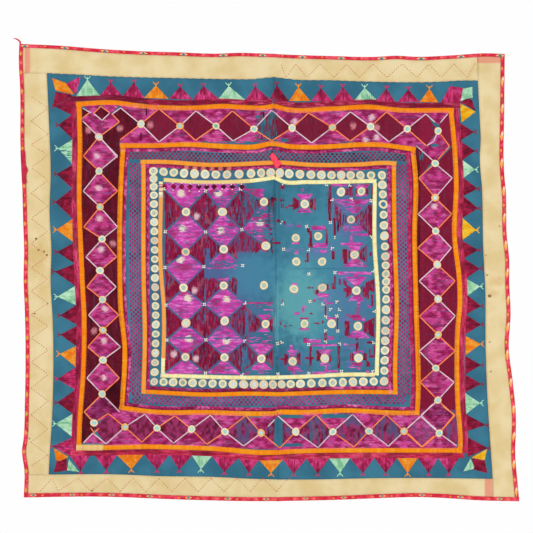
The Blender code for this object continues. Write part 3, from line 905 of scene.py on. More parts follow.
def add_tail():
    """The binding's loose end, twisted like a cord and thinner towards its tip."""
    along = np.linspace(0, 1, 46)
    knots = np.linspace(0, 1, len(TAIL["x"]))
    middles = np.stack([
        smooth(knots, TAIL["x"], along),
        np.full_like(along, relief(TAIL["x"][0], TAIL["z"][0])),
        smooth(knots, TAIL["z"], along),
    ], axis=1)
    radii = smooth(knots, TAIL["radius"], along) * 0.95
    mesh = tube_mesh("binding_twist", middles, radii, 14, lobes=0.18, turns=2.2)
    finish = plain_cotton("printed red cotton, twisted", "#C81A34", "#E8566A")
    add_piece("binding_twist", mesh, finish, ("binding_tail",))


def add_thread_loop():
    """Two fine strands of pale thread that leave the binding's right corner and meet in a loop."""
    turns = np.linspace(0, math.pi, 60)
    lo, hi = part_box("corner_loop")
    length = 13.6 * MM
    half = 1.3 * MM
    rise = math.radians(29)
    foot_z = -4 * MM
    foot_x = float(upright(RIGHT_EDGE, foot_z)) + 0.6 * MM + half * math.sin(rise)
    out = length * np.sin(turns)
    aside = half * np.cos(turns)
    middles = np.stack([
        foot_x + out * math.cos(rise) - aside * math.sin(rise),
        np.full_like(turns, (lo[1] + hi[1]) / 2),
        foot_z + out * math.sin(rise) + aside * math.cos(rise),
    ], axis=1)
    mesh = tube_mesh("thread_loop", middles, np.full_like(turns, 0.36 * MM), 8, lobes=0.12, turns=16)
    finish, shader = new_finish("cotton sewing thread")
    spot, across, up = on_cloth(finish)
    ply = patches(finish, spot, 1.5 * MM)
    base = mixed(finish, ply, colour("#E8D6A4"), colour("#F8EEC8"))
    finish.node_tree.links.new(base, shader.inputs["Base Color"])
    shader.inputs["Roughness"].default_value = 0.8
    add_piece("thread_loop", mesh, finish, ("corner_loop",))


# A stitch is a low ridge of silk: the places of its corners along it, aside from it and out of the cloth
RIDGE_CORNERS = np.array((
    (0, -1, 0), (0, 1, 0), (1, 1, 0), (1, -1, 0), (0.2, 0, 1), (0.8, 0, 1),
))
RIDGE_FACES = ((0, 3, 5, 4), (2, 1, 4, 5), (1, 0, 4), (3, 2, 5), (0, 1, 2, 3))
# Painted shade and highlight: each stitch's dye is darkened at its four feet and lightened along its ridge
RIDGE_PAINTED_SHADE_AND_HIGHLIGHT = np.array((0.86, 0.86, 0.86, 0.86, 1.16, 1.16))
SINK = 0.03 * MM  # how deep a stitch's foot lies in the cloth
ROW_PITCH = 1.05 * MM
STITCH_LENGTH = 6.0 * MM
SHORT_END = 1.4 * MM
SEAM_REACH = 12 * MM


def silk_floss():
    """Untwisted silk floss: a soft gloss along the threads, its dye uneven, with painted shade between its fibres. Its
    colour is in the stitches.
    """
    finish, shader = new_finish("silk floss, untwisted")
    dye = add_node(finish, "VertexColor", {}, layer_name="dye")
    spot, across, up = on_cloth(finish)
    fibre = patches(finish, spot, 1.1 * MM, 2.0)
    # Painted shade: the dye is mixed a little towards black where the fibre noise is low, between the fibres
    shaded = mixed(finish, maths(finish, "MULTIPLY", stepped(finish, fibre, 0.55, 0.3), 0.1), dye, (0, 0, 0, 1))
    bump = add_node(finish, "Bump", {"Height": fibre, "Strength": 0.35, "Distance": 0.15 * MM})
    finish.node_tree.links.new(shaded, shader.inputs["Base Color"])
    finish.node_tree.links.new(bump, shader.inputs["Normal"])
    shader.inputs["Roughness"].default_value = 0.6
    shader.inputs["Specular IOR Level"].default_value = 0.12
    return finish


def cotton_thread():
    """Twisted cotton thread: matt and soft, with painted shade between its plies. Its colour is in the stitches."""
    finish, shader = new_finish("cotton embroidery thread")
    dye = add_node(finish, "VertexColor", {}, layer_name="dye")
    spot, across, up = on_cloth(finish)
    ply = patches(finish, spot, 0.9 * MM, 2.0)
    # Painted shade: the dye is mixed towards black where the ply noise is low, between the plies
    shaded = mixed(finish, maths(finish, "MULTIPLY", stepped(finish, ply, 0.55, 0.3), 0.2), dye, (0, 0, 0, 1))
    bump = add_node(finish, "Bump", {"Height": ply, "Strength": 0.5, "Distance": 0.15 * MM})
    finish.node_tree.links.new(shaded, shader.inputs["Base Color"])
    finish.node_tree.links.new(bump, shader.inputs["Normal"])
    shader.inputs["Roughness"].default_value = 0.85
    shader.inputs["Specular IOR Level"].default_value = 0.2
    return finish


def joined_copies(name, points, faces, dyes):
    """One mesh of many copies of a shape: their points [copy, point, axis], the shape's faces and their dyes."""
    copies, corners = points.shape[:2]
    sizes = np.array([len(face) for face in faces])
    loops = np.concatenate([np.array(face) for face in faces])
    mesh = bpy.data.meshes.new(name)
    mesh.vertices.add(copies * corners)
    mesh.vertices.foreach_set("co", points.astype(np.float32).ravel())
    mesh.loops.add(copies * len(loops))
    every = (loops[None, :] + corners * np.arange(copies)[:, None]).ravel()
    mesh.loops.foreach_set("vertex_index", every.astype(np.int32))
    mesh.polygons.add(copies * len(faces))
    starts = np.concatenate([[0], np.cumsum(np.tile(sizes, copies))[:-1]])
    mesh.polygons.foreach_set("loop_start", starts.astype(np.int32))
    mesh.update(calc_edges=True)
    mesh.validate()
    dye = mesh.color_attributes.new("dye", "FLOAT_COLOR", "POINT")
    values = np.ones((copies * corners, 4), np.float32)
    values[:, :3] = np.clip(dyes.reshape(-1, 3), 0, 1)
    dye.data.foreach_set("color", values.ravel())
    mesh.shade_smooth()
    return mesh


def lay(stitches, width, rise, dyes, base=0.0):
    """The corners and dyes of stitches that lie on the panels, their dyes with painted shade at the feet and a painted
    highlight on the ridge. Base is how far above the cloth they start.
    """
    start = stitches[:, None, 0:2]
    end = stitches[:, None, 2:4]
    way = end - start
    length = np.maximum(np.linalg.norm(way, axis=2, keepdims=True), 0.01 * MM)
    aside = np.stack([-way[..., 1], way[..., 0]], axis=2) / length
    flat = start + way * RIDGE_CORNERS[None, :, :1] + aside * RIDGE_CORNERS[None, :, 1:2] * (width / 2)
    uneven = 0.8 + 0.4 * cloudy(start[..., 0], start[..., 1], 1.3 * MM, 1.3 * MM, 9)
    depth = face_y(flat[..., 0], flat[..., 1]) + SINK - base - RIDGE_CORNERS[None, :, 2] * rise * uneven
    points = np.stack([flat[..., 0], depth, flat[..., 1]], axis=2)
    # Painted shade and highlight: the dyes are multiplied darker at the stitch's feet and lighter on its ridge
    return points, dyes[:, None, :] * RIDGE_PAINTED_SHADE_AND_HIGHLIGHT[None, :, None]


def sew(name, laid, finish, stands_for=()):
    """Joins all the laid stitches of a piece."""
    points = np.concatenate([each[0] for each in laid])
    dyes = np.concatenate([each[1] for each in laid])
    return add_piece(name, joined_copies(name, points, RIDGE_FACES, dyes), finish, stands_for)


def darn(outline, way, pitch=ROW_PITCH, length=STITCH_LENGTH):
    """Rows of stitches that fill an outline, across or down, laid like bricks. A row is two places."""
    points = np.array(outline, float)
    if way == "down":
        points = points[:, ::-1]
    after = np.roll(points, -1, axis=0)
    found = []
    for row in range(math.ceil(points[:, 1].min() / pitch - 0.5), math.floor(points[:, 1].max() / pitch - 0.5) + 1):
        height = (row + 0.5) * pitch
        across = (points[:, 1] > height) != (after[:, 1] > height)
        a = points[across]
        b = after[across]
        ends = np.sort(a[:, 0] + (height - a[:, 1]) / (b[:, 1] - a[:, 1]) * (b[:, 0] - a[:, 0]))
        for first, last in zip(ends[0::2], ends[1::2]):
            if last - first < SHORT_END / 2:
                continue
            shift = length * (0.5 * (row % 2) + 0.25 * NOISE[row % 256, 3])
            number = np.arange(math.floor((first - shift) / length) + 1, math.ceil((last - shift) / length))
            cuts = (number + 0.3 * (NOISE[number % 256, row % 256] - 0.5)) * length + shift
            cuts = cuts[(cuts > first + SHORT_END) & (cuts < last - SHORT_END)]
            stops = np.concatenate([[first], cuts, [last]])
            off = pitch * 0.2 * (NOISE[row % 256, number[0] % 256 if len(number) else 0] - 0.5)
            for s, e in zip(stops[:-1], stops[1:]):
                found.append((s, height + off, e, height + off))
    found = np.array(found).reshape(-1, 4)
    if way == "down":
        found = found[:, (1, 0, 3, 2)]
    return found


def middles(stitches):
    return (stitches[:, 0] + stitches[:, 2]) / 2, (stitches[:, 1] + stitches[:, 3]) / 2


def trace(points, spacing):
    """Places at this spacing along a smooth line through the points, and the ways there, as two arrays.

    A line that crosses the seam is bent there, because each panel was worked on its own.
    """
    knots = np.array(points, float)
    off = np.abs(knots[1:-1, 0] - seam_x(knots[1:-1, 1]))
    if len(off) and off.min() < SEAM_REACH:
        bend = int(off.argmin()) + 1
        first, first_way = trace(knots[: bend + 1], spacing)
        last, last_way = trace(knots[bend:], spacing)
        return np.concatenate([first, last[1:]]), np.concatenate([first_way, last_way[1:]])
    run = np.concatenate([[0], np.cumsum(np.linalg.norm(np.diff(knots, axis=0), axis=1))])
    count = max(2, round(run[-1] / spacing) + 1)
    at = np.linspace(0, run[-1], count)
    line = np.stack([smooth(run, knots[:, 0], at), smooth(run, knots[:, 1], at)], axis=1)
    way = np.gradient(line, axis=0)
    way /= np.linalg.norm(way, axis=1, keepdims=True)
    return line, way


def side_of(way):
    return np.stack([-way[:, 1], way[:, 0]], axis=1)


def satin(points, width, pitch, slant=0.0):
    """Stitches side by side across a line, from one rim of its band to the other."""
    line, way = trace(points, pitch)
    aside = side_of(way) * width / 2
    ragged = 0.3 * MM * (cloudy(line[:, 0], line[:, 1], 1.1 * MM, 1.1 * MM, 10) - 0.5)[:, None]
    lean = way * slant
    return np.concatenate([line - aside - lean + side_of(way) * ragged, line + aside + lean + side_of(way) * ragged], axis=1)


def rows_along(points, offsets, length=STITCH_LENGTH):
    """Rows of stitches along a line, at these distances aside from it."""
    found = []
    for number, offset in enumerate(offsets):
        line, way = trace(points, length / 6)
        shifted = line + side_of(way) * offset
        first = (3 * number) % 6
        stops = np.arange(first, len(shifted), 6)
        stops = np.unique(np.concatenate([[0], stops + np.round(2 * NOISE[number, stops % 256] - 1).astype(int), [len(shifted) - 1]]))
        stops = stops[(stops >= 0) & (stops < len(shifted))]
        found.append(np.concatenate([shifted[stops[:-1]], shifted[stops[1:]]], axis=1))
    return np.concatenate(found)


# Spots where the silk has faded nearly white, on the chart
FADED = place((
    (119.8, 128.6), (88.5, 130), (150.3, 125), (97, 156), (98.3, 188), (99.5, 218.6), (113, 243.4), (101, 249.3),
    (104.8, 309), (94, 331), (104, 340.5), (104, 378), (294.6, 122), (336.8, 100), (353, 126), (371.5, 117.5),
    (370, 106.5), (376.8, 128), (376.5, 137.5), (365.5, 140.4), (434.5, 206.5), (181, 193.5), (218.5, 193.3),
    (182.5, 228.6), (220.6, 230.8), (196.6, 216.5), (180.8, 260), (260, 223), (188, 298), (194.5, 290.5),
    (226.5, 299), (189, 339), (226.4, 341), (174, 354), (196, 358.5),
))
FADED_RADIUS = 5.6 * MM


def fade(dyes, x, z, faded="#F4CEDA", crisp=1.5):
    """Silk near a faded spot turns a pinkish white."""
    ragged = FADED_RADIUS * (0.8 + 0.4 * cloudy(x, z, 4 * MM, 4 * MM, 11))
    share = np.zeros_like(x)
    for spot_x, spot_z in FADED:
        far = np.hypot(x - spot_x, z - spot_z)
        share = np.maximum(share, np.clip((1.3 - far / ragged) * crisp, 0, 0.8 + 0.05 * crisp))
    return blend(dyes, tint(faded), share)


def streaky(x, z, wide, tall, layer, common, light, dark, light_share=0.5, dark_share=0.6):
    """A dye that drifts lighter and darker in streaks of this size."""
    near = cloudy(x, z, wide, tall, layer)
    far = cloudy(x, z, 5 * wide, 3 * tall, layer + 1)
    wave = 0.6 * near + 0.4 * far
    dyes = blend(tint(common)[None, :], tint(light), np.clip((wave - 0.52) * 3, 0, 1) * light_share)
    return blend(dyes, tint(dark), np.clip((0.48 - wave) * 3, 0, 1) * dark_share)


def magenta(x, z):
    """The magenta of the lattice, whose threads run across, with dark crimson blotches."""
    dyes = streaky(x, z, 3.6 * MM, 1.8 * MM, 20, "#C42A7A", "#F08CC8", "#8A1244", 0.8, 0.85)
    cloud = cloudy(x, z, 8 * MM, 6 * MM, 23)
    dyes = blend(dyes, tint("#860E46"), np.clip((cloud - 0.54) * 4.5, 0, 0.65))
    dyes = blend(dyes, tint("#E45CB2"), np.clip((0.42 - cloud) * 4, 0, 0.5))
    violet_streak = np.clip((cloudy(x, z, 14 * MM, 1.2 * MM, 26) - 0.78) * 7, 0, 0.7)
    return fade(blend(dyes, tint("#7A5A94"), violet_streak), x, z)


def maroon(x, z):
    """The maroon of the lattice, whose threads run down, with near-black and slate streaks."""
    dyes = streaky(x, z, 1.5 * MM, 9 * MM, 30, "#6C0824", "#921236", "#34060F", 0.55, 0.75)
    upper = (z > place((0, 146))[1]) & (x > place((146, 0))[0])
    dyes = blend(dyes, tint("#B02A54"), upper * 0.35)
    dyes = blend(dyes, tint("#B01E4C"), (x > place((420, 0))[0]) * 0.4)
    lower = (z < place((0, 410))[1]) & (x > place((96, 0))[0])
    dyes = blend(dyes, tint("#B63C7C"), lower * np.clip(cloudy(x, z, 4 * MM, 4 * MM, 36) * 1.5 - 0.2, 0, 0.9))
    bluish = np.clip((cloudy(x, z, 5 * MM, 16 * MM, 38) - 0.42) * 4, 0, 0.8)
    dyes = blend(dyes, tint("#5C5E8C"), bluish * (lower & (x > place((225, 0))[0])))
    slate = np.clip((cloudy(x, z, 1.2 * MM, 14 * MM, 33) - 0.82) * 6, 0, 0.5)
    return fade(blend(dyes, tint("#4E4565"), slate), x, z, "#E0909A")


def orange(x, z):
    """Orange silk with pale streaks."""
    return streaky(x, z, 2.2 * MM, 2.2 * MM, 40, "#FF9712", "#FFB83C", "#F07A08", 0.55, 0.5)


# The lines of the embroidered bands, from the outside inwards. Each side runs through places on the chart:
# down its middle for the orange, crimson and cream bands. Top and bottom run to the right, left and right down.
OUTER_ORANGE = {
    "top": (
        (76.2, 104.2), (117, 103), (135, 105.5), (202, 107.8), (220, 106.4), (247, 107.8), (265, 107.8),
        (274, 106), (283, 108.7), (332, 109), (373, 107.3), (390, 109.5), (453.6, 110.4),
    ),
    "right": (
        (450.7, 112), (453, 133), (456, 183), (454.3, 236), (459.2, 281), (459.6, 305), (457.9, 322),
        (457.4, 402), (460, 445), (459.6, 452.7),
    ),
    "bottom": (
        (103, 447.6), (150, 446.4), (176, 446.9), (211, 448.2), (265, 452.7), (297, 451.3), (410, 450), (458, 450),
    ),
    "left": (
        (79, 106), (80, 142), (79.2, 192), (82, 272), (84.3, 322), (83.2, 375), (80, 418), (79, 444.4),
    ),
}
MIDDLE_ORANGE = {
    "top": (
        (120.3, 145.3), (158, 145.3), (185, 144.4), (229, 146.6), (256, 146.6), (270, 143.5), (280, 144.4),
        (288, 146.2), (306, 147), (386, 145.3), (408, 148.4), (415.4, 149.4),
    ),
    "right": (
        (412.8, 151), (415.4, 175), (414.6, 236), (416, 305), (417.7, 402), (417, 414.7),
    ),
    "bottom": (
        (119.4, 407.5), (150, 411.6), (211, 412.5), (247, 413.8), (274, 413.8), (279, 412), (306, 412.5),
        (341, 410.7), (408, 412.9), (415, 412.6),
    ),
    "left": (
        (123, 148), (121.2, 175), (119.8, 272), (120.5, 305), (124.7, 349), (122, 406),
    ),
}
INNER_ORANGE = {
    "top": (
        (140.9, 161.9), (158, 161.8), (211, 164.9), (270, 162.7), (283, 162.7), (306, 164.5), (359, 164.5),
        (386, 163), (396, 163.6),
    ),
    "right": (
        (393.7, 165.6), (394.3, 228), (396.5, 305), (395, 384), (395.4, 394),
    ),
    "bottom": (
        (145.6, 391.6), (211, 394.5), (247, 393.7), (280, 394.3), (359, 391.9), (393, 392.2),
    ),
    "left": ((143.6, 164), (144, 290), (145, 330), (143.6, 393.2)),
}
CREAM_LINE = {
    "top": (
        (164, 179.9), (205, 182.4), (229, 182), (252, 180.6), (275, 177.5), (283, 181.5), (306, 182), (376, 181),
    ),
    "right": ((374.9, 183.4), (374.5, 241), (378, 300), (376.7, 375)),
    "bottom": ((161, 375.4), (247, 377.6), (272, 377.6), (297, 377), (350, 374.5), (374.5, 374.5)),
    "left": ((161, 182), (161.4, 277), (163.5, 300), (163.2, 373)),
}
OUTWARD = {"top": 1, "right": 1, "bottom": -1, "left": -1}  # the side of a line on which its outside lies


def longer(points, first, last):
    """A line drawn on past its first and last places by these numbers of squares."""
    ends = np.array(points, float)
    way = ends[1] - ends[0]
    ends[0] -= way / np.linalg.norm(way) * first
    way = ends[-1] - ends[-2]
    ends[-1] += way / np.linalg.norm(way) * last
    return ends


def add_orange_bands(silk):
    laid = []
    for lines, width, rise in ((OUTER_ORANGE, 5.4, 0.95), (MIDDLE_ORANGE, 5.4, 0.95), (INNER_ORANGE, 4.6, 0.9)):
        for side, points in lines.items():
            stitches = satin(place(points), width * SQUARE, 1.12 * MM, 0.35 * MM)
            x, z = middles(stitches)
            dyes = orange(x, z)
            if lines is OUTER_ORANGE and side in ("left", "top"):
                dyes = blend(dyes, tint("#FF7A08"), 0.3)
            if lines is INNER_ORANGE and side in ("left", "top"):
                dyes = blend(dyes, tint("#FFAE58"), 0.3 + 0.3 * cloudy(x, z, 12 * MM, 12 * MM, 43))
            laid.append(lay(stitches, 1.38 * MM, rise * MM, dyes))
    end = satin(place(((76.5, 447.6), (103, 447.6))), 6.4 * SQUARE, 1.12 * MM, 0.3 * MM)
    x, z = middles(end)
    laid.append(lay(end, 1.38 * MM, 0.9 * MM, streaky(x, z, 3 * MM, 3 * MM, 45, "#EBC986", "#F3DDAE", "#D49A55")))
    sew("orange_bands", laid, silk)


def add_cream_band(silk):
    laid = []
    for side, points in CREAM_LINE.items():
        stitches = satin(place(points), 4.3 * SQUARE, 1.15 * MM, 0.3 * MM)
        x, z = middles(stitches)
        dyes = streaky(x, z, 3 * MM, 3 * MM, 47, "#FBECB0", "#FFFADC", "#E8C888", 0.6, 0.5)
        if side == "top":
            dyes = blend(dyes, tint("#E8C87E"), (x < place((250, 0))[0]) * 0.7)
        if side == "left":
            lower = place((0, 198))[1]
            upper = place((0, 358))[1]
            warm = (z < lower) & (z > upper)
            dyes = blend(dyes, tint("#F79A35"), warm * 0.85)
            mottled = cloudy(x, z, 2.2 * MM, 2.2 * MM, 48)
            dyes = blend(dyes, tint("#C05888"), (z >= lower) * (0.85 - 0.8 * (mottled > 0.62)))
        laid.append(lay(stitches, 1.4 * MM, 0.8 * MM, dyes))
    sew("cream_band", laid, silk)


def add_crimson_bands(silk):
    """Rows of crimson silk along the orange bands: outside the outer one, and inside the other two."""
    outer = []
    for side, points in OUTER_ORANGE.items():
        sign = OUTWARD[side]
        if side == "bottom":
            points = ((76, 448),) + points
        offsets = sign * (np.arange(9) + 0.5) * 1.1 * MM + sign * 2.75 * SQUARE
        run_on = {"top": (6, 8), "bottom": (6, 6), "left": (4.6, 6.6), "right": (4, 0)}[side]
        stitches = rows_along(place(longer(points, *run_on)), offsets)
        x, z = middles(stitches)
        common = {"top": "#A41C42", "left": "#C22A5A", "right": "#CA2E5A", "bottom": "#D23054"}[side]
        wide, tall = (9 * MM, 1.6 * MM) if side in ("top", "bottom") else (1.6 * MM, 9 * MM)
        dyes = streaky(x, z, wide, tall, 50, common, "#F06A90", "#6E0C26", 0.75, 0.8)
        clouds = np.clip((cloudy(x, z, 22 * MM, 22 * MM, 52) - 0.6) * 3, 0, 0.5)
        dyes = blend(dyes, tint("#6E0E2C"), clouds)
        if side == "top":
            dyes = blend(dyes, tint("#700C2E"), (x < place((146, 0))[0]) * 0.7)
        outer.append(lay(stitches, 1.28 * MM, 0.75 * MM, dyes))
    sew("outer_crimson_band", outer, silk)

    inner = []
    for lines, start, rows in ((MIDDLE_ORANGE, 2.7, 6), (INNER_ORANGE, 2.3, 6)):
        for side, points in lines.items():
            sign = -OUTWARD[side]
            count = rows + 2 if side == "right" else rows
            offsets = sign * (np.arange(count) + 0.5) * 1.1 * MM + sign * start * SQUARE
            stitches = rows_along(place(points), offsets, 4 * MM)
            x, z = middles(stitches)
            dyes = streaky(x, z, 2.6 * MM, 2.6 * MM, 54, "#C42A76", "#F890CC", "#6E0C34", 0.9, 0.9)
            if lines is MIDDLE_ORANGE and side == "right":
                dyes = blend(dyes, tint("#C01E4E"), 0.6)
            near_orange = np.abs(offsets[0]) + 1.2 * MM
            line, way = trace(place(points), 2 * MM)
            gap = np.sqrt(((x[:, None] - line[None, :, 0]) ** 2 + (z[:, None] - line[None, :, 1]) ** 2).min(axis=1))
            dyes = blend(dyes, tint("#6A0C2A"), (gap < near_orange) * 0.6)
            if lines is INNER_ORANGE and side == "bottom":
                dyes = blend(dyes, tint("#7E0C36"), (x < place((330, 0))[0]) * 0.6)
            if lines is INNER_ORANGE and side == "top":
                beats = np.sin(2 * np.pi * x / (8.6 * SQUARE)) > 0.1
                left = (x > place((183, 0))[0]) & (x < place((232, 0))[0])
                dyes = blend(dyes, tint("#F0907C"), (beats & left) * 0.75)
                dyes = blend(dyes, tint("#6B0C2C"), (~beats & left) * 0.75)
            inner.append(lay(stitches, 1.28 * MM, 0.7 * MM, dyes))
    sew("inner_crimson_bands", inner, silk)


# The check band: the distance of its first row of checks from the inner orange line, and its rows
CHECK_SIDES = {"top": (3.7, 4), "right": (3.7, 5), "bottom": (3.7, 4), "left": (3.9, 5)}
CHECK_LONG = 4.3 * SQUARE
CHECK_APART = 2.35 * SQUARE
CHECK_DYES = {
    "top": ("#861A42", "#C04A7C", "#44081E"),
    "right": ("#AE2264", "#D0508E", "#6A0E3A"),
    "bottom": ("#A82670", "#CC589E", "#5A1044"),
    "left": ("#A42060", "#C84A8A", "#66103A"),
}


def add_check_band(silk):
    """Small staggered checks of darned silk on the bare teal."""
    laid = []
    for side, points in INNER_ORANGE.items():
        first, rows = CHECK_SIDES[side]
        sign = OUTWARD[side]
        reach = (first + CHECK_APART / SQUARE * (rows - 0.5)) if side in ("top", "bottom") else 0
        ends = longer(points, reach, reach)
        for row in range(rows):
            line, way = trace(place(ends), CHECK_LONG / 2)
            line = line[row % 2 :: 2]
            way = way[row % 2 :: 2]
            for part in range(3):
                offset = sign * (first * SQUARE + row * CHECK_APART + (part - 1) * 1.3 * MM)
                middle = line + side_of(way) * offset
                size = 2.15 * MM * (0.9 + 0.25 * cloudy(middle[:, 0], middle[:, 1], 3 * MM, 3 * MM, 60))[:, None]
                stitches = np.concatenate([middle - way * size, middle + way * size], axis=1)
                x, z = middles(stitches)
                dyes = streaky(x, z, 6 * MM, 6 * MM, 61, *CHECK_DYES[side], 0.6, 0.7)
                if side == "top":
                    redder = np.clip((place((200, 0))[0] - x) / (60 * SQUARE), 0, 0.8)
                    dyes = blend(dyes, tint("#A01A4E"), redder)
                laid.append(lay(stitches, 1.5 * MM, 0.6 * MM, dyes))
    sew("check_band", laid, silk)


def squares(x, z):
    """The column and row of a place on the cloth."""
    return (x / SQUARE + MIDDLE_COLUMN, TOP_ROW - z / SQUARE)


def mirror_squares(side, count):
    """The middles of a side's lattice mirrors, as the frame gives them, on the chart."""
    found = []
    for number in range(1, count + 1):
        low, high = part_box(f"mirror_{side}_{number}")
        found.append(squares((low[0] + high[0]) / 2, (low[2] + high[2]) / 2))
    return found


LATTICE_COUNTS = {"top": 9, "left": 10, "bottom": 10, "right": 8}

# The zigzag lines between the mirrors of each side: the outer and the inner corner of each lozenge
LOZENGES = {
    "top": (
        (159, 109, 159, 142), (196, 111, 195.4, 140.4), (232.4, 111, 233, 141), (271.7, 110.4, 271.7, 141),
        (308.4, 113, 311.5, 143), (350.4, 112, 350, 141), (386.5, 112, 388.8, 142), (425.7, 114, 426, 145.7),
    ),
    "right": (
        (452, 178, 418.6, 178), (451.6, 214, 418, 214), (451.2, 248, 417.7, 248), (455, 281, 419, 281),
        (455, 316, 419, 316), (454.7, 351, 419, 351), (453.8, 382, 420, 382), (453.8, 415, 420.8, 415),
    ),
    "bottom": (
        (142, 442, 145, 414), (173.5, 443, 175, 415.6), (207, 444, 210.5, 415), (243.6, 446, 245.8, 415.6),
        (279.8, 448, 277.6, 415.6), (318, 447.8, 316, 414.7), (353.9, 447, 352.6, 414.3), (388.3, 446, 386, 414.3),
        (421.7, 447, 420.4, 416),
    ),
    "left": (
        (83.2, 156, 117.6, 156), (83.2, 191, 117.6, 191), (83.7, 227, 117.6, 227), (85.9, 257, 116.7, 257),
        (86.8, 287, 116.3, 287), (88.6, 315, 118.9, 315), (87.7, 347, 120.7, 347), (86.8, 378, 119.4, 378),
        (84, 412, 119.8, 412),
    ),
}
# Lines that are missing: the side, the lozenge and the line, with the lines to and from its outer and inner corner
LOST_LINES = (("top", 7, 1), ("top", 7, 3), ("left", 8, 1), ("left", 8, 3), ("bottom", 4, 2))
CORD_STOP = 3.3  # squares from a mirror's middle to where a line stops
STARTS_PALE = ("right",)  # the sides whose first outer line is pale. On the others it is orange

# How far the fills run on under the orange bands
UNDER = {"top": (0, -2.2), "right": (2.2, 0), "bottom": (0, 2.2), "left": (-2.2, 0)}

# The corners of the band, where the pattern is cut to fit: outlines of each dye, and lines of each thread
CORNER_MAGENTA = (
    ((83, 105), (100.2, 105), (94, 113), (90.9, 113)),
    ((101.5, 105), (119.5, 105), (111.8, 113.8), (109.6, 113.2)),
    (
        (90.5, 113.2), (94, 113.4), (102, 120.4), (110, 113), (111.8, 114.2), (119.5, 122), (99.6, 136.6),
        (82.6, 121), (82.6, 118),
    ),
    ((120.7, 104.5), (159, 104.5), (159, 109), (141, 124), (120.7, 108.2)),
    ((120, 140), (122, 144.5), (159, 144.5), (159, 142), (141, 124)),
    ((425.8, 113.8), (425.8, 111), (449, 111), (448, 114), (438, 125)),
    ((438, 133), (449, 147.5), (435, 163.6), (416, 146.5), (426, 145.7)),
    ((102, 394), (84, 411.6), (94, 423), (108.7, 413.8), (119.8, 412)),
    ((83.5, 443), (93, 433), (106, 444)),
    ((108.7, 413.8), (122, 410), (145, 411), (145, 414), (125, 427)),
    ((106, 444), (104, 446), (142, 445), (142, 442), (125, 427)),
    ((437.6, 400), (455, 415), (439, 433), (420.4, 416)),
    ((404, 431), (420.4, 416), (439, 433), (421.7, 446.5)),
    ((421.7, 446.5), (421.7, 449), (457, 449), (456.5, 445.6), (439, 433)),
)
CORNER_MAROON = (
    ((100.8, 106.3), (93.8, 113.4), (102, 120.4), (110, 113)),
    ((82, 108), (90.4, 113), (82, 117.8)),
    (
        (99.7, 136.6), (119.5, 122), (111.8, 114.2), (120.7, 108.2), (141, 124), (120, 140), (119, 143),
        (121, 157), (117.4, 157),
    ),
    ((81.5, 120), (99, 137), (83.2, 156), (81, 156)),
    ((448, 114), (440, 123), (438, 131), (440, 136), (449, 147.5), (453, 146), (450, 113)),
    ((452, 146.5), (436, 163.6), (452, 178), (455, 178), (454, 146)),
    ((416, 146), (413.5, 151), (415.4, 178), (418.6, 178), (433, 161)),
    ((94, 428), (108.7, 413.8), (125, 427), (106, 444)),
    ((84, 411.6), (94, 423), (94, 432), (83.5, 443), (80.5, 443), (81, 411)),
    ((119.4, 378), (102, 394), (119.8, 412), (123, 408), (123, 378)),
    ((453.8, 415), (459, 415), (460.5, 447), (456.5, 445.6), (439, 433)),
)
CORNER_PALE = (
    ((102, 120.4), (93.8, 113.4)), ((102, 120.4), (110, 113)), ((82.6, 108), (90.9, 113)),
    ((111.6, 114.6), (120.7, 108)), ((120.7, 108), (141, 124.5)), ((82.8, 121), (99, 137)),
    ((99.6, 136.6), (117.4, 157.7)), ((425.6, 114.1), (435, 122.6)), ((439.9, 123), (447.5, 114.1)),
    ((438, 131), (433.2, 141.8)), ((433.2, 141.8), (426.5, 145.8)), ((416, 145.7), (433, 161)),
    ((83.2, 443), (93, 433)), ((93, 433), (106, 443.8)), ((106, 443.8), (125, 427)),
    ((267.7, 426.8), (274.8, 419.6)), ((439, 433), (456.5, 445.6)), ((432.5, 404), (420, 416.6)),
    ((420, 416.6), (407, 428)), ((421, 416.6), (436, 429)),
)
CORNER_ORANGE = (
    ((100.8, 106.3), (93.8, 113.4)), ((100.8, 106.3), (110, 113)), ((82.6, 117.9), (90, 112.5)),
    ((112, 113.8), (119.5, 122)), ((119.5, 122), (99.6, 136.6)), ((141, 124), (119.9, 139.9)),
    ((438, 131), (449.3, 146.3)), ((449.3, 146.3), (437.7, 159.6)), ((84, 411.6), (94, 423)),
    ((94, 423), (108.2, 413.4)), ((108.2, 413.4), (125, 427)), ((90.5, 427.4), (94.1, 432.7)),
    ((94.1, 432.7), (99.1, 428.2)), ((442.4, 406), (455, 415)), ((455, 415), (439, 433)),
    ((434, 435.7), (421.7, 446.5)), ((421.7, 446.5), (407.6, 433)),
)

# Bare places in the lattice where the silk has worn away: left, right, top and bottom on the chart, and how much
WORN_LATTICE = (
    (256, 270, 110, 140, 0.5), (280, 288, 138.6, 142, 0.8), (430.5, 438.6, 144, 147, 0.9),
    (419, 423, 152, 160, 0.7), (201, 269, 141.3, 143, 0.7), (340, 384, 141.7, 143.2, 0.7),
    (270, 277, 108, 145, 0.4), (247, 262, 413, 417.6, 1.2), (280, 302, 413, 418, 1.2), (322, 350, 413, 418, 1.2),
    (274.6, 282.6, 418, 447, 1.5), (282, 302, 443.6, 447, 0.9), (310, 318, 420, 440, 0.3),
)

# Short lines of near-black thread where the lattice was mended
DARK_LINES = (((146.6, 108), (146.6, 116)), ((141, 133), (141, 140)), ((263.6, 112), (264, 118)), ((261.8, 134.6), (262, 140)))


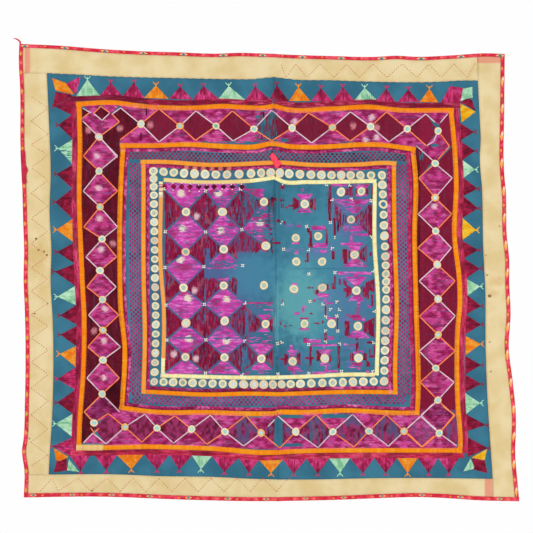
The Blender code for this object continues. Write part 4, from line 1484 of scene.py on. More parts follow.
def lattice_outlines():
    """The outlines of the lattice's magenta and maroon parts, and its orange and pale lines, on the chart."""
    magenta_parts = list(CORNER_MAGENTA)
    maroon_parts = list(CORNER_MAROON)
    orange_lines = list(CORNER_ORANGE)
    pale_lines = list(CORNER_PALE)
    for side, lozenges in LOZENGES.items():
        mirrors = mirror_squares(side, LATTICE_COUNTS[side])
        if side == "right":
            mirrors.append(mirror_squares("bottom", 10)[9])
        shift = np.array(UNDER[side])
        inward = -shift
        lozenge_parts, side_parts = (
            (maroon_parts, magenta_parts) if side in ("top", "bottom") else (magenta_parts, maroon_parts)
        )
        for i, (outer_x, outer_y, inner_x, inner_y) in enumerate(lozenges):
            before = mirrors[i]
            after = mirrors[min(i + 1, len(mirrors) - 1)]
            outer = np.array((outer_x, outer_y))
            inner = np.array((inner_x, inner_y))
            if i + 1 < len(mirrors):
                lozenge_parts.append((before, tuple(outer), after, tuple(inner)))
                first, second = (pale_lines, orange_lines) if (i % 2 == 0) == (side in STARTS_PALE) else (orange_lines, pale_lines)
                four = (
                    (first, before, tuple(outer)), (first, tuple(outer), after),
                    (second, before, tuple(inner)), (second, tuple(inner), after),
                )
                for number, (lines, start, end) in enumerate(four):
                    if (side, i, number) not in LOST_LINES:
                        lines.append((start, end))
            if i + 1 < len(lozenges):
                next_outer = np.array(lozenges[i + 1][0:2])
                next_inner = np.array(lozenges[i + 1][2:4])
                side_parts.append((tuple(outer + shift), tuple(next_outer + shift), tuple(next_outer), after, tuple(outer)))
                side_parts.append((tuple(inner + inward), tuple(next_inner + inward), tuple(next_inner), after, tuple(inner)))
    return magenta_parts, maroon_parts, orange_lines, pale_lines


def kept(stitches, worn, layer):
    """Leaves out stitches in the worn places, by chance, so that the teal shows."""
    x, z = middles(stitches)
    column, row = squares(x, z)
    across = np.abs(stitches[:, 2] - stitches[:, 0]) > np.abs(stitches[:, 3] - stitches[:, 1])
    luck = np.where(across, cloudy(x, z, 9 * MM, 1.1 * MM, layer), cloudy(x, z, 1.1 * MM, 12 * MM, layer))
    gone = np.zeros(len(stitches), bool)
    for left, right, top, bottom, share in worn:
        inside = (column > left) & (column < right) & (row > top) & (row < bottom)
        gone |= inside & (luck < 0.2 + 0.6 * share)
    return stitches[~gone]


def clear_of_mirrors(start, end, mirrors):
    """A line that reaches a mirror stops at its ring."""
    start = np.array(start, float)
    end = np.array(end, float)
    way = (end - start) / np.linalg.norm(end - start)
    for mirror in mirrors:
        if np.linalg.norm(start - mirror) < CORD_STOP:
            start = start + way * (CORD_STOP - (start - mirror) @ -way * -1)
        if np.linalg.norm(end - mirror) < CORD_STOP:
            end = end - way * (CORD_STOP - (end - mirror) @ way * -1)
    return start, end


def cord_stitches(start, end, step=3.0 * MM, length=6.2 * MM, lean=0.4 * MM):
    """Overlapping slanted stitches that make a raised line from one place to another."""
    start = np.array(start, float)
    end = np.array(end, float)
    span = np.linalg.norm(end - start)
    way = (end - start) / span
    aside = np.array((-way[1], way[0])) * lean
    firsts = np.arange(0, max(span - length * 0.5, step), step)
    lasts = np.minimum(firsts + length, span)
    return np.concatenate([start + way * firsts[:, None] - aside, start + way * lasts[:, None] + aside], axis=1)


def add_lattice(silk):
    magenta_parts, maroon_parts, orange_lines, pale_lines = lattice_outlines()
    laid = []
    for outline in magenta_parts:
        stitches = kept(darn(place(outline), "across"), WORN_LATTICE, 70)
        laid.append(lay(stitches, 1.2 * MM, 0.72 * MM, magenta(*middles(stitches))))
    sew("lattice_magenta", laid, silk)
    laid = []
    for outline in maroon_parts:
        stitches = kept(darn(place(outline), "down"), WORN_LATTICE, 71)
        laid.append(lay(stitches, 1.2 * MM, 0.72 * MM, maroon(*middles(stitches))))
    sew("lattice_maroon", laid, silk)
    laid = []
    mirrors = [spot for side, count in LATTICE_COUNTS.items() for spot in mirror_squares(side, count)]
    for lines, common, light, dark in (
        (orange_lines, "#FF8450", "#FFAA78", "#DC5420"), (pale_lines, "#D9C0C8", "#F2DDDA", "#9C8CA8"),
        (DARK_LINES, "#2A0A1E", "#4A1838", "#180610"),
    ):
        for start, end in lines:
            stitches = cord_stitches(*place(clear_of_mirrors(start, end, mirrors)))
            x, z = middles(stitches)
            laid.append(lay(stitches, 2.1 * MM, 0.8 * MM, streaky(x, z, 3 * MM, 3 * MM, 74, common, light, dark), base=0.5 * MM))
    sew("lattice_lines", laid, silk)


# The pennants round the outside. On each side: the dye, where the base starts and ends, and the tip
PENNANTS = {
    "top": (
        ("mint", 76, 100, 87.5, 79.6), ("magenta", 100, 122, 110.9, 82.3), ("magenta", 123, 144.4, 134, 82.3),
        ("orange", 144, 168.6, 156, 85.4), ("magenta", 169, 192.7, 180.2, 86.8), ("magenta", 193, 218.6, 203.4, 86),
        ("mint", 218.6, 245.4, 228.8, 86), ("magenta", 245.4, 269.5, 255.2, 86.3), ("maroon", 270, 289, 276.7, 85),
        ("orange", 289, 310.6, 298.4, 86.8), ("magenta", 311, 332, 321, 87.7), ("magenta", 332.5, 354, 342.8, 86.8),
        ("mint", 354.4, 376.7, 364.6, 87.7), ("magenta", 376.7, 395, 386.5, 88.6),
        ("magenta", 397.7, 419.5, 408.3, 89.5), ("orange", 419.5, 438.2, 429.3, 88.6),
    ),
    "right": (
        ("maroon", 123, 140, 474, 132), ("maroon", 142, 160, 475, 151), ("mint", 160, 178, 475, 169.5),
        ("maroon", 178, 196, 477.5, 188.7), ("maroon", 196, 218, 478, 208.3), ("yellow", 218, 240, 476, 230),
        ("maroon", 241, 258, 478, 250), ("maroon", 259, 278, 480, 268.6), ("mint", 279, 296, 480, 286.4),
        ("maroon", 295, 314, 481, 306), ("maroon", 315, 334, 481, 324.5), ("orange", 336, 355, 480.6, 344),
        ("maroon", 356, 374, 481, 365), ("maroon", 374.5, 392, 481, 384), ("mint", 393, 414, 480, 403),
        ("maroon", 414, 431, 486, 425), ("maroon", 437, 457, 488, 448),
    ),
    "bottom": (
        ("magenta", 70, 90, 80.5, 471.4), ("magenta", 94.8, 117, 106.4, 470.5), ("orange", 117, 144, 131.4, 469.2),
        ("magenta", 144.5, 169.5, 157, 469.6), ("magenta", 170, 192, 179.3, 469.6), ("mint", 192, 212, 201, 469),
        ("magenta", 212, 238, 224.4, 472), ("magenta", 239, 259, 249, 473), ("orange", 259, 283, 271, 473.3),
        ("magenta", 283, 306.6, 293.7, 474), ("magenta", 306.6, 329, 317.8, 474), ("mint", 329, 350, 340, 473),
        ("magenta", 350, 374, 363, 473), ("magenta", 374.5, 397, 385.6, 473), ("orange", 397, 417.7, 407.4, 473),
        ("magenta", 417.7, 438, 428.4, 473), ("magenta", 438, 459, 448.5, 473),
    ),
    "left": (
        ("maroon", 97, 115, 54.6, 106.4), ("maroon", 115, 138.6, 58, 125), ("mint", 139.5, 163.6, 57.8, 148.4),
        ("maroon", 165, 188, 56.4, 174), ("maroon", 189, 218.6, 55, 202), ("orange", 219, 242, 56.4, 229.7),
        ("maroon", 243, 263, 57, 252), ("maroon", 264, 285.5, 54.6, 271.7), ("mint", 286, 305, 57.3, 296.7),
        ("maroon", 305, 324.5, 60, 315.5), ("maroon", 326, 346, 60, 334.7), ("orange", 346, 367, 59.6, 354),
        ("magenta", 367, 389.6, 57.3, 379), ("maroon", 390.5, 413.8, 57, 402.6), ("mint", 414, 436.6, 55.5, 423.7),
        ("magenta", 438, 457, 52.4, 446.4),
    ),
}

# The odd pieces that fill the four corners, as outlines, with the way their threads run
CORNER_PENNANTS = (
    ("magenta", "down", ((440.6, 102.6), (450, 86), (463, 88), (460, 102.6))),
    ("mint", "down", ((463, 88.6), (472, 86.8), (472.6, 97.5), (460.5, 101))),
    ("maroon", "across", ((460.5, 102.4), (467.7, 98), (472, 100), (475.7, 111))),
    ("yellow", "across", ((459.6, 103.3), (461.4, 122.5), (475.7, 111.8))),
    ("yellow", "across", ((471, 457.6), (487, 449), (484.6, 460))),
    ("maroon", "across", ((471.7, 458), (484.6, 460), (487.3, 473), (474, 469.6))),
    ("mint", "down", ((470.4, 458.5), (474, 466), (473, 469), (463, 471.4))),
    ("orange", "across", ((53.8, 448), (68.5, 457), (60, 461), (56, 460))),
    ("maroon", "across", ((56.4, 461.6), (66.7, 458.5), (67, 470.5), (53.8, 472.3))),
    ("mint", "down", ((69, 459), (67, 470.5), (79, 472))),
    ("orange", "across", ((52, 78), (66, 83), (74.3, 94.8), (55.5, 90.4))),
    ("magenta", "down", ((66.3, 83.7), (80.5, 76.5), (76, 94.8))),
    ("maroon", "across", ((55.5, 92), (70, 94.2), (72, 96.2), (53, 107))),
)
BASE_OUT = 7.7  # squares from the outer orange line to the pennants' bases
PENNANT_DYES = {
    "magenta": ("#CC2864", "#EA5CA8", "#8E123C"),
    "maroon": ("#9A1436", "#B8285A", "#5E0A22"),
    "mint": ("#AEE0BA", "#D4F2DA", "#7CC096"),
    "orange": ("#FF951A", "#FFB84A", "#E8700C"),
    "yellow": ("#FFC000", "#FFD850", "#E89A00"),
}
# Pennants whose silk is half gone, as in the lattice
WORN_PENNANTS = ((50, 72, 150, 162, 0), (362, 377, 80, 100, 0.1))
# One prong of the sprig at a pennant's tip: how far aside and how far out
PRONG = np.array(((0, 0), (1.4, 1.9), (3.0, 3.2), (4.4, 4.8), (5.4, 6.6))) * MM
STEM_REACH = 5.4 * MM


def sprig(tip, out, dyes_name):
    """The small forked sprig at the tip of a pennant."""
    tip = np.array(tip)
    out = np.array(out, float)
    aside = np.array((-out[1], out[0]))
    found = []
    size = 0.78 if dyes_name in ("magenta", "maroon") else 1.0
    for sign in (1, -1):
        points = tip + aside * PRONG[:, :1] * sign * size + out * PRONG[:, 1:] * size
        line, way = trace(points, 1.9 * MM)
        found.append(np.concatenate([line[:-1] - way[:-1] * 0.3 * MM, line[1:] + way[1:] * 0.3 * MM], axis=1))
    found.append(np.concatenate([tip - out * 1.5 * MM, tip + out * STEM_REACH])[None, :])
    return np.concatenate(found)


def add_pennants(silk):
    laid = []

    def fill(dye_name, way, outline, tip=None):
        stitches = kept(darn(outline, way), WORN_PENNANTS, 102)
        x, z = middles(stitches)
        wide, tall = (5 * MM, 1.8 * MM) if way == "across" else (1.8 * MM, 5 * MM)
        common, light, dark = PENNANT_DYES[dye_name]
        dyes = streaky(x, z, wide, tall, 100, common, light, dark, 0.75, 0.85)
        blotch = cloudy(x, z, 5 * MM, 5 * MM, 103)
        dyes = blend(dyes, tint(light), np.clip((blotch - 0.66) * 5, 0, 0.6))
        dyes = blend(dyes, tint(dark), np.clip((0.34 - blotch) * 5, 0, 0.6))
        if tip is not None and dye_name in ("magenta", "maroon"):
            near_tip = 1 - np.hypot(x - tip[0], z - tip[1]) / (15 * SQUARE)
            dyes = blend(dyes, tint("#5E0A30"), np.clip(near_tip - 0.3, 0, 0.45))
        laid.append(lay(stitches, 1.22 * MM, 0.75 * MM, dyes))

    for side, pennants in PENNANTS.items():
        line = np.array(OUTER_ORANGE[side])
        top_or_bottom = side in ("top", "bottom")
        axis = 0 if top_or_bottom else 1
        out_square = np.array(UNDER[side], float)
        out_square /= np.linalg.norm(out_square)
        for dye_name, first, last, tip_x, tip_y in pennants:
            at = np.linspace(first, last, 5)
            base = np.zeros((5, 2))
            base[:, axis] = at
            base[:, 1 - axis] = np.interp(at, line[:, axis], line[:, 1 - axis])
            base += out_square * BASE_OUT
            middle_base = base.mean(axis=0)
            outline = place(np.concatenate([base, [(tip_x, tip_y)]]))
            tip = place((tip_x, tip_y))
            fill(dye_name, "down" if top_or_bottom else "across", outline, tip)
            out = tip - place(middle_base)
            out /= np.linalg.norm(out)
            out_way = out_square * (1, -1)
            out = out * 0.4 + out_way * 0.6
            stitches = sprig(tip, out / np.linalg.norm(out), dye_name)
            dyes = np.repeat(tint(PENNANT_DYES[dye_name][0])[None, :], len(stitches), axis=0)
            laid.append(lay(stitches, 1.7 * MM, 0.7 * MM, dyes))
            if dye_name in ("magenta", "maroon"):
                stitches = cord_stitches(place(middle_base), tip, lean=0.1 * MM)
                dyes = np.repeat(tint("#7A1240")[None, :], len(stitches), axis=0)
                laid.append(lay(stitches, 0.9 * MM, 0.35 * MM, dyes, base=0.6 * MM))
    for dye_name, way, outline in CORNER_PENNANTS:
        fill(dye_name, way, place(outline))
    sew("pennants", laid, silk)


# The centre field. Left of the seam every mirror has four knots round it; these are the rows of knots
LEFT_KNOTS = (
    ((164, 189), (205.6, 191), (240.5, 189), (281, 189)),
    ((165.4, 231.7), (205.6, 232), (241.8, 229.5), (281.5, 222.5)),
    ((165, 267.5), (204, 266.7), (242.7, 265.5), (282, 268)),
    ((166, 305), (204.5, 304.3), (244.8, 303), (282.5, 304)),
    ((167, 340), (206, 339.8), (244.9, 341), (277.6, 343.5)),
    ((164, 374), (205.6, 373), (242, 374.5), (278, 374)),
)
LEFT_MIRRORS = np.stack(squares(CENTRE_MIRRORS["x"][:15], CENTRE_MIRRORS["z"][:15]), axis=1).reshape(5, 3, 2)
DIAGONAL_GAP = 0.58  # squares of bare cloth on each side of the diagonals

# Worn places left of the seam, as in the lattice
WORN_CENTRE = (
    (229, 256, 190, 224, 0.3), (264, 282, 183, 197, 1.5), (266, 282, 206, 250, 0.75), (252, 268, 207, 240, 0.45),
    (237, 282, 252, 300, 1.5), (204, 269, 269, 278, 1.0), (204.4, 210, 249, 267.5, 1.0), (210, 236, 261, 271, 0.6),
    (242, 274, 285, 302, 1.5), (248, 273, 304, 315, 0.9), (245, 248.3, 307, 336, 0.9), (241.9, 247.5, 346, 373, 0.9),
    (249, 273, 332, 344, 0.85), (249, 274, 370, 375, 0.9), (273, 282, 180, 380, 1.5), (204, 206, 283, 322, 0.9),
    (170, 195, 337.2, 338.8, 0.9), (212, 240, 337.2, 338.8, 0.9), (187, 200, 369.2, 370.6, 0.8),
    (205, 272, 190, 375, 0.02), (166, 205, 190, 375, -0.12),
)

# What is left of the silk right of the seam, as blocks: left, right, top and bottom. Two more numbers are the
# left and right of a block's foot where its sides slant, or the top and bottom of its right side
RIGHT_MAGENTA = (
    (296, 313, 194, 199.6, 300.5, 308.6), (300, 309, 208.4, 212.7, 296.5, 312.6), (301.4, 304, 189, 191),
    (296.4, 300.6, 225.5, 227.2), (310, 326, 225.6, 230.4, 312.6, 324.6), (314.6, 325.6, 243, 248, 312.4, 328),
    (320, 326.6, 250.2, 252.4), (291.8, 299.5, 242, 244), (294.2, 298.4, 251, 254), (331.6, 347.4, 184, 186.2),
    (352.8, 370, 184.6, 189.4, 357.4, 365), (356, 367.4, 194.6, 196.4), (333, 370, 199.4, 213, 352, 357.4),
    (350.2, 352.6, 195.4, 199.4), (343, 363, 225.6, 231.4), (350, 352.6, 231.4, 243), (353, 367.6, 233.8, 235.8),
    (337, 350, 233.4, 234.8), (340.6, 363.4, 242.6, 245), (347.6, 361, 245.6, 250.6, 350.4, 358.6),
    (352, 358, 258.8, 266.8, 343, 368), (338, 371.4, 272, 274.4), (353.6, 358, 274, 277),
    (344.6, 367, 276.6, 285.8, 354, 358.6), (353, 361, 295, 301, 348, 364.4), (357, 360.2, 301, 308.4),
    (368, 371.4, 305.6, 307.4), (326.2, 333, 302.4, 304.2), (316.6, 329, 293.2, 297.2), (323, 326.8, 299, 301.4),
    (313, 316, 299.6, 301.4), (291.4, 297, 283.2, 285), (292.2, 296.4, 293, 294.8), (302, 306.6, 306.2, 307.9),
    (302, 304.4, 307.9, 313), (294, 299.6, 312, 315), (300, 308.6, 317.4, 319.4), (299.2, 309.6, 328, 330.4),
    (303, 320.6, 339.4, 342.8), (311.8, 336.6, 344, 346.2), (323, 325, 346.2, 349.4),
    (287, 297.4, 350, 356.2, 289.6, 295), (289.4, 292.8, 345.4, 350), (288, 297, 366, 371, 287.6, 302.4),
    (293, 295.2, 371, 374), (317, 333, 349.7, 354.4, 321, 328.6), (321, 328, 362.6, 365.6, 319.4, 330.6),
    (324.8, 326.8, 365.6, 371), (312.4, 325.6, 372, 374.6), (325, 338.6, 370.2, 372.6), (327, 336, 316, 319),
    (328, 334, 336.4, 339.8), (345, 360, 314.2, 320.4, 353, 362), (362, 364.8, 317.4, 321),
    (356.6, 358.6, 308.4, 314.3), (353, 363, 331, 338, 346.4, 369.6), (343.6, 355.4, 343.6, 345.2),
    (353, 363.2, 350.6, 353.6), (352, 362.4, 362.2, 365.6), (357.6, 360.4, 365.6, 369.8), (366, 371.6, 370, 372.6),
    (349.2, 357.6, 366.4, 368),
)
RIGHT_MAROON = (
    (292.6, 299.4, 196.6, 210.6, 200.6, 207), (309.6, 315.6, 200, 207.6, 196.8, 211), (288, 292.6, 204.8, 206.6),
    (280, 284, 198.6, 201.4), (281, 284, 204, 208), (285.6, 288, 206.6, 208.4), (272.4, 276.8, 197.6, 201),
    (272.6, 274, 201, 212), (280.4, 284.4, 185, 189), (276, 280, 219.4, 222.4), (284, 285.6, 221, 224.6),
    (307, 309.6, 227.6, 232, 229, 233), (309.4, 312.2, 231, 244), (307.4, 312.6, 243.4, 247.6),
    (325.6, 328.6, 228.6, 245), (272.6, 281, 241.8, 244), (328.2, 331.2, 185.4, 221.4), (371, 372.6, 186.4, 198.6),
    (345, 348.4, 188.6, 195.4), (348.8, 352.8, 186, 196), (355, 357.2, 189.8, 194.2), (366, 368.6, 188.4, 194.8),
    (334.4, 348, 201.6, 236, 218, 221), (333, 344, 218, 220.2), (333.6, 335.6, 220, 235),
    (337.6, 339.2, 220.6, 231), (353.6, 371.4, 218, 221, 203, 236), (368, 372.2, 205, 232.6),
    (368, 372, 233, 236.4), (342.4, 347.4, 249, 263.8), (348.6, 350.4, 250.6, 259),
    (359.4, 366.6, 250.6, 258.6, 245, 262.6), (369.6, 371.6, 252, 256.2), (331.8, 334.4, 251, 259.4),
    (306.6, 309.2, 253, 262.2), (305, 308.6, 260, 262.2), (343.4, 347, 279, 284, 282, 288),
    (346.4, 352, 284.6, 298, 288, 293.6), (361.4, 366, 286.6, 294.6, 283, 298.6),
    (365, 374.4, 283, 288, 278.6, 292.8), (366, 369, 287, 298.8), (371, 373.4, 294.4, 306.2),
    (334, 335.8, 275.6, 289), (331.6, 335.4, 283, 289.2), (339.2, 340.8, 279, 284.8), (339.6, 341.4, 290.6, 294.4),
    (343.4, 347.4, 288, 292), (315, 318.6, 289.6, 294.6), (326.8, 328.6, 284, 290), (307.2, 313.6, 286.8, 288.6),
    (280, 281.8, 321.8, 325), (284, 286, 325.4, 327.2), (288, 292.2, 325, 326.2), (314, 319.2, 322.6, 324),
    (321.8, 323.6, 320.6, 323.8), (310, 312.4, 312.8, 314.4), (324.4, 326.8, 333, 341.4), (324.6, 326.6, 306, 316),
    (303, 307.6, 338, 341.6), (309.4, 311.8, 346, 371), (305, 314, 357, 359.4),
    (283.8, 288.2, 353, 366.2, 355.4, 364), (279.8, 283.6, 358, 360), (296.2, 300.4, 355, 363.6, 352, 366),
    (316.4, 320.6, 350.4, 361.4), (329.4, 331.6, 354, 362), (337.4, 340.4, 346, 368.6), (336.8, 338.6, 318.4, 329.4),
    (344.6, 349.4, 321, 336), (363.6, 374.4, 322.4, 331.4, 317.6, 338), (355.4, 358, 337.6, 340.6),
    (355.8, 358.6, 342.2, 351.6), (366.6, 373.4, 341.2, 343.6), (350.2, 353.2, 353.2, 361.2),
    (363.6, 366.6, 353, 360.4), (368.8, 374.4, 355.2, 357.6), (368.8, 370.8, 348.6, 354.6), (373.4, 375, 345, 356),
    (365.6, 369.8, 360, 366.6, 362, 367),
)
RIGHT_VIOLET = (
    (285.3, 303.7, 223.8, 227.4), (312, 332, 248.6, 253), (286, 305, 248.2, 251.8), (331, 347, 186.2, 189.2),
    (335, 352, 201, 212), (338, 368, 221.6, 229), (337, 366, 232, 236), (338, 356, 272, 276), (316, 332, 297, 301),
    (341, 356, 345, 349), (295, 306.8, 372.4, 375), (342, 350, 316, 322), (326, 334, 363, 369), (290, 304, 371, 375),
    (340, 350, 276, 284), (345, 352, 360, 368),
)
WORN_RIGHT = (
    (333, 352, 200, 211, 0.3), (335, 352, 203, 236, 0.5), (353, 368, 205, 236, 0.3), (280, 376, 183, 376, 0.03),
)

# Knots of pale thread where the corners of the squares meet, right of the seam
RIGHT_KNOTS = (
    (283.6, 184), (326.7, 184.5), (350, 185), (332, 199.5), (351.3, 199.3), (371, 200.6), (281.5, 222.5),
    (306.7, 226.5), (330.4, 222.5), (334, 237.4), (371, 237), (283.6, 249.2), (308.5, 249.8), (332.3, 248.5),
    (308.8, 274), (335, 272.5), (373, 271), (282.5, 304), (310, 301.5), (323, 304), (337, 302), (330.7, 309.6),
    (339.5, 309.5), (374.3, 311), (325.6, 317), (336.8, 316), (325.6, 331), (337.7, 331), (277.6, 343.5),
    (282, 342), (308.6, 344.5), (325.5, 342), (339.5, 344), (373.5, 342.3), (278, 374), (308.8, 373.5),
    (341.5, 371.5), (373, 371.5),
)
KNOT_APART = 2.3 * MM
KNOT_LONG = 3.0 * MM

PETAL_LOST = 0.14  # the share of the knots' stitches that have worn through

# A row of little crimson lozenges above the first mirrors, and the pale dots above and below them
SMALL_LOZENGES = (164.6, 173.7, 181.7, 190, 198.8, 206.8, 214, 223.6, 232.3, 241.9)
SMALL_ROW = 186.8
SMALL_HALF = 3.0
SMALL_DOTS = (
    (172.9, 183), (181.7, 183), (190.5, 183.8), (198.8, 185), (206.8, 185), (223.2, 183.8), (231.5, 184.6),
    (241.5, 184.2), (164.2, 189.3), (173.2, 190.1), (189.3, 190.9), (199.2, 191.3), (222.4, 189), (232.3, 189.3),
)


def painted_crease_shade_by_seam(dyes, x, z):
    """Painted shade: silk just left of the seam, where the cloth creases, is darkened to nearly black in its upper
    half.
    """
    near = (x > seam_x(z) - 20 * MM) & (x < seam_x(z)) & (z > place((0, 300))[1])
    return blend(dyes, tint("#2E0C2C"), near * np.clip(cloudy(x, z, 5 * MM, 3 * MM, 126) * 2 - 0.6, 0, 0.85))


def violet(x, z):
    """The magenta of the centre, which has kept more violet than the lattice's."""
    dyes = streaky(x, z, 6 * MM, 1.6 * MM, 110, "#DA4CB8", "#F8A2E6", "#A82478", 0.8, 0.7)
    redder = np.clip((cloudy(x, z, 16 * MM, 16 * MM, 112) - 0.58) * 4, 0, 0.7)
    streak = np.clip((cloudy(x, z, 16 * MM, 1.2 * MM, 113) - 0.72) * 7, 0, 0.75)
    return painted_crease_shade_by_seam(fade(blend(blend(dyes, tint("#B01E60"), redder), tint("#7468A4"), streak), x, z, "#F0E0D0", 4), x, z)


def crimson(x, z):
    """The dark silk of the centre, whose threads run down, with slate streaks."""
    dyes = streaky(x, z, 1.5 * MM, 9 * MM, 114, "#981040", "#BC2C68", "#560822", 0.6, 0.8)
    streaked = 0.22 * ((x > place((228, 0))[0]) & (x < place((268, 0))[0]))
    slate = np.clip((cloudy(x, z, 1.2 * MM, 12 * MM, 117) - 0.74 + streaked) * 6, 0, 0.6)
    paler = np.clip((cloudy(x, z, 7 * MM, 9 * MM, 118) - 0.78) * 5, 0, 0.25)
    return painted_crease_shade_by_seam(fade(blend(blend(dyes, tint("#E08890"), paler), tint("#585A8C"), slate), x, z), x, z)


def drawn_in(corner_a, corner_b, point):
    """A triangle moved in from its two sides that meet at the point, to leave the diagonals bare."""
    corners = np.array((corner_a, corner_b, point), float)
    out = corners[2] - (corners[0] + corners[1]) / 2
    out /= np.linalg.norm(out)
    along = corners[1] - corners[0]
    along /= np.linalg.norm(along)
    return np.array((
        corners[0] + along * DIAGONAL_GAP * 2.2, corners[1] - along * DIAGONAL_GAP * 2.2, corners[2] - out * DIAGONAL_GAP * 2.0,
    ))


def add_centre(silk):
    violet_laid = []
    crimson_laid = []

    def darn_violet(outline, worn):
        stitches = kept(darn(place(outline), "across"), worn, 120)
        violet_laid.append(lay(stitches, 1.2 * MM, 0.72 * MM, violet(*middles(stitches))))

    def darn_crimson(outline, worn):
        stitches = kept(darn(place(outline), "down"), worn, 121)
        crimson_laid.append(lay(stitches, 1.2 * MM, 0.72 * MM, crimson(*middles(stitches))))

    for row, mirrors in enumerate(LEFT_MIRRORS):
        for column, mirror in enumerate(mirrors):
            top_left = LEFT_KNOTS[row][column]
            top_right = LEFT_KNOTS[row][column + 1]
            low_left = LEFT_KNOTS[row + 1][column]
            low_right = LEFT_KNOTS[row + 1][column + 1]
            darn_violet(drawn_in(top_left, top_right, mirror), WORN_CENTRE)
            darn_violet(drawn_in(low_left, low_right, mirror), WORN_CENTRE)
            darn_crimson(drawn_in(top_left, low_left, mirror), WORN_CENTRE)
            darn_crimson(drawn_in(top_right, low_right, mirror), WORN_CENTRE)
    for left, right, top, foot, *slant in RIGHT_MAGENTA:
        low_left, low_right = slant or (left, right)
        darn_violet(((left, top), (right, top), (low_right, foot), (low_left, foot)), WORN_RIGHT)
    for left, right, top, foot, *slant in RIGHT_MAROON:
        right_top, right_foot = slant or (top, foot)
        darn_crimson(((left, top), (right, right_top), (right, right_foot), (left, foot)), WORN_RIGHT)
    for left, right, top, foot in RIGHT_VIOLET:
        stitches = darn(place(((left, top), (right, top), (right, foot), (left, foot))), "across")
        x, z = middles(stitches)
        stitches = stitches[cloudy(x, z, 8 * MM, 1.1 * MM, 123) > 0.5]
        x, z = middles(stitches)
        dyes = streaky(x, z, 6 * MM, 2 * MM, 124, "#7A6EB4", "#A890D0", "#5A5A98")
        violet_laid.append(lay(stitches, 0.8 * MM, 0.3 * MM, dyes))

    band = darn(place(((166, 182.6), (246, 183.4), (246, 190.4), (166, 190.2))), "across")
    band = kept(band, ((236, 247, 182, 191, 0.5),), 120)
    violet_laid.append(lay(band, 1.2 * MM, 0.6 * MM, violet(*middles(band))))
    for column in SMALL_LOZENGES:
        half = SMALL_HALF
        outline = (
            (column - half, SMALL_ROW), (column, SMALL_ROW - half), (column + half, SMALL_ROW), (column, SMALL_ROW + half),
        )
        stitches = darn(place(outline), "down", length=8 * MM)
        x, z = middles(stitches)
        dyes = streaky(x, z, 4 * MM, 4 * MM, 122, "#8C0C3A", "#B0204A", "#5A0820")
        dyes = blend(dyes, tint("#3E0A22"), np.clip((x - place((186, 0))[0]) / (12 * SQUARE), 0, 0.75))
        crimson_laid.append(lay(stitches, 1.3 * MM, 0.6 * MM, dyes, base=0.5 * MM))
    sew("centre_magenta", violet_laid, silk)
    sew("centre_maroon", crimson_laid, silk)


def add_knots(thread):
    """Knots of four short pale stitches, and single dots along the top of the field."""
    spots = [knot for row in LEFT_KNOTS for knot in row[:3]] + list(RIGHT_KNOTS)
    stitches = []
    for number, spot in enumerate(place(spots)):
        for turn in (45, 135, 225, 315):
            if NOISE[number, turn % 256] < PETAL_LOST:
                continue
            angle = math.radians(turn + 30 * (NOISE[number, 8] - 0.5))
            out = np.array((math.cos(angle), math.sin(angle)))
            middle = spot + out * KNOT_APART
            stitches.append(np.concatenate([middle - out * KNOT_LONG / 2, middle + out * KNOT_LONG / 2]))
    for spot in place(SMALL_DOTS):
        stitches.append(np.concatenate([spot - (1.5 * MM, 0), spot + (1.5 * MM, 0)]))
    stitches = np.array(stitches)
    x, z = middles(stitches)
    dyes = streaky(x, z, 4 * MM, 4 * MM, 125, "#FFF4DE", "#FFFFF8", "#EFD2C0")
    sew("pale_knots", [lay(stitches, 2.4 * MM, 1.0 * MM, dyes, base=0.45 * MM)], thread)


# A mirror's ring of buttonhole stitches, as shares of its radius and heights above the cloth
RING_PROFILE = ((1.0, -0.05), (0.95, 0.75), (0.78, 1.35), (0.6, 1.3), (0.48, 0.6), (0.52, -0.05))
RING_STEPS = 44
GLASS_SIDES = 14
GLASS_REACH = 0.58
GLASS_LIFT = 0.1
GLASS_RISE = 0.72


def shape_of(bm):
    """The points and faces of a shape that is then copied many times."""
    bmesh.ops.recalc_face_normals(bm, faces=bm.faces)
    bm.verts.index_update()
    points = np.array([tuple(vertex.co) for vertex in bm.verts])
    faces = [tuple(vertex.index for vertex in face.verts) for face in bm.faces]
    bm.free()
    return points, faces


def ring_shape():
    bm = bmesh.new()
    corners = [bm.verts.new((share, 0, height)) for share, height in RING_PROFILE]
    edges = [bm.edges.new((a, b)) for a, b in zip(corners, corners[1:] + corners[:1])]
    bmesh.ops.spin(
        bm, geom=corners + edges, cent=(0, 0, 0), axis=(0, 0, 1), angle=2 * math.pi, steps=RING_STEPS, use_merge=True
    )
    return shape_of(bm)


def glass_shape():
    bm = bmesh.new()
    bmesh.ops.create_cone(
        bm, cap_ends=True, segments=GLASS_SIDES, radius1=GLASS_REACH, radius2=GLASS_REACH * 0.97,
        depth=GLASS_RISE - GLASS_LIFT, matrix=Matrix.Translation((0, 0, (GLASS_RISE + GLASS_LIFT) / 2)),
    )
    return shape_of(bm)


def set_round(shape, spots, radii, uneven, layer):
    """Copies of a shape at these spots on the cloth, each squashed and turned a little by hand."""
    points = shape[0]
    angles = np.arctan2(points[:, 1], points[:, 0])
    x = spots[:, 0][:, None]
    z = spots[:, 1][:, None]
    turn = 6.28 * NOISE[np.arange(len(spots)), layer][:, None]
    squash = 1 + uneven * (NOISE[np.arange(len(spots)), layer + 1][:, None] - 0.5) * np.cos(2 * (angles[None, :] - turn))
    squash = squash * (1 + 0.16 * uneven * np.sin(3 * angles[None, :] + turn * 3))
    out_x = x + radii[:, None] * squash * points[None, :, 0]
    out_z = z + radii[:, None] * squash * points[None, :, 1]
    depth = face_y(out_x, out_z) - points[None, :, 2] * MM
    return np.stack([out_x, depth, out_z], axis=2)


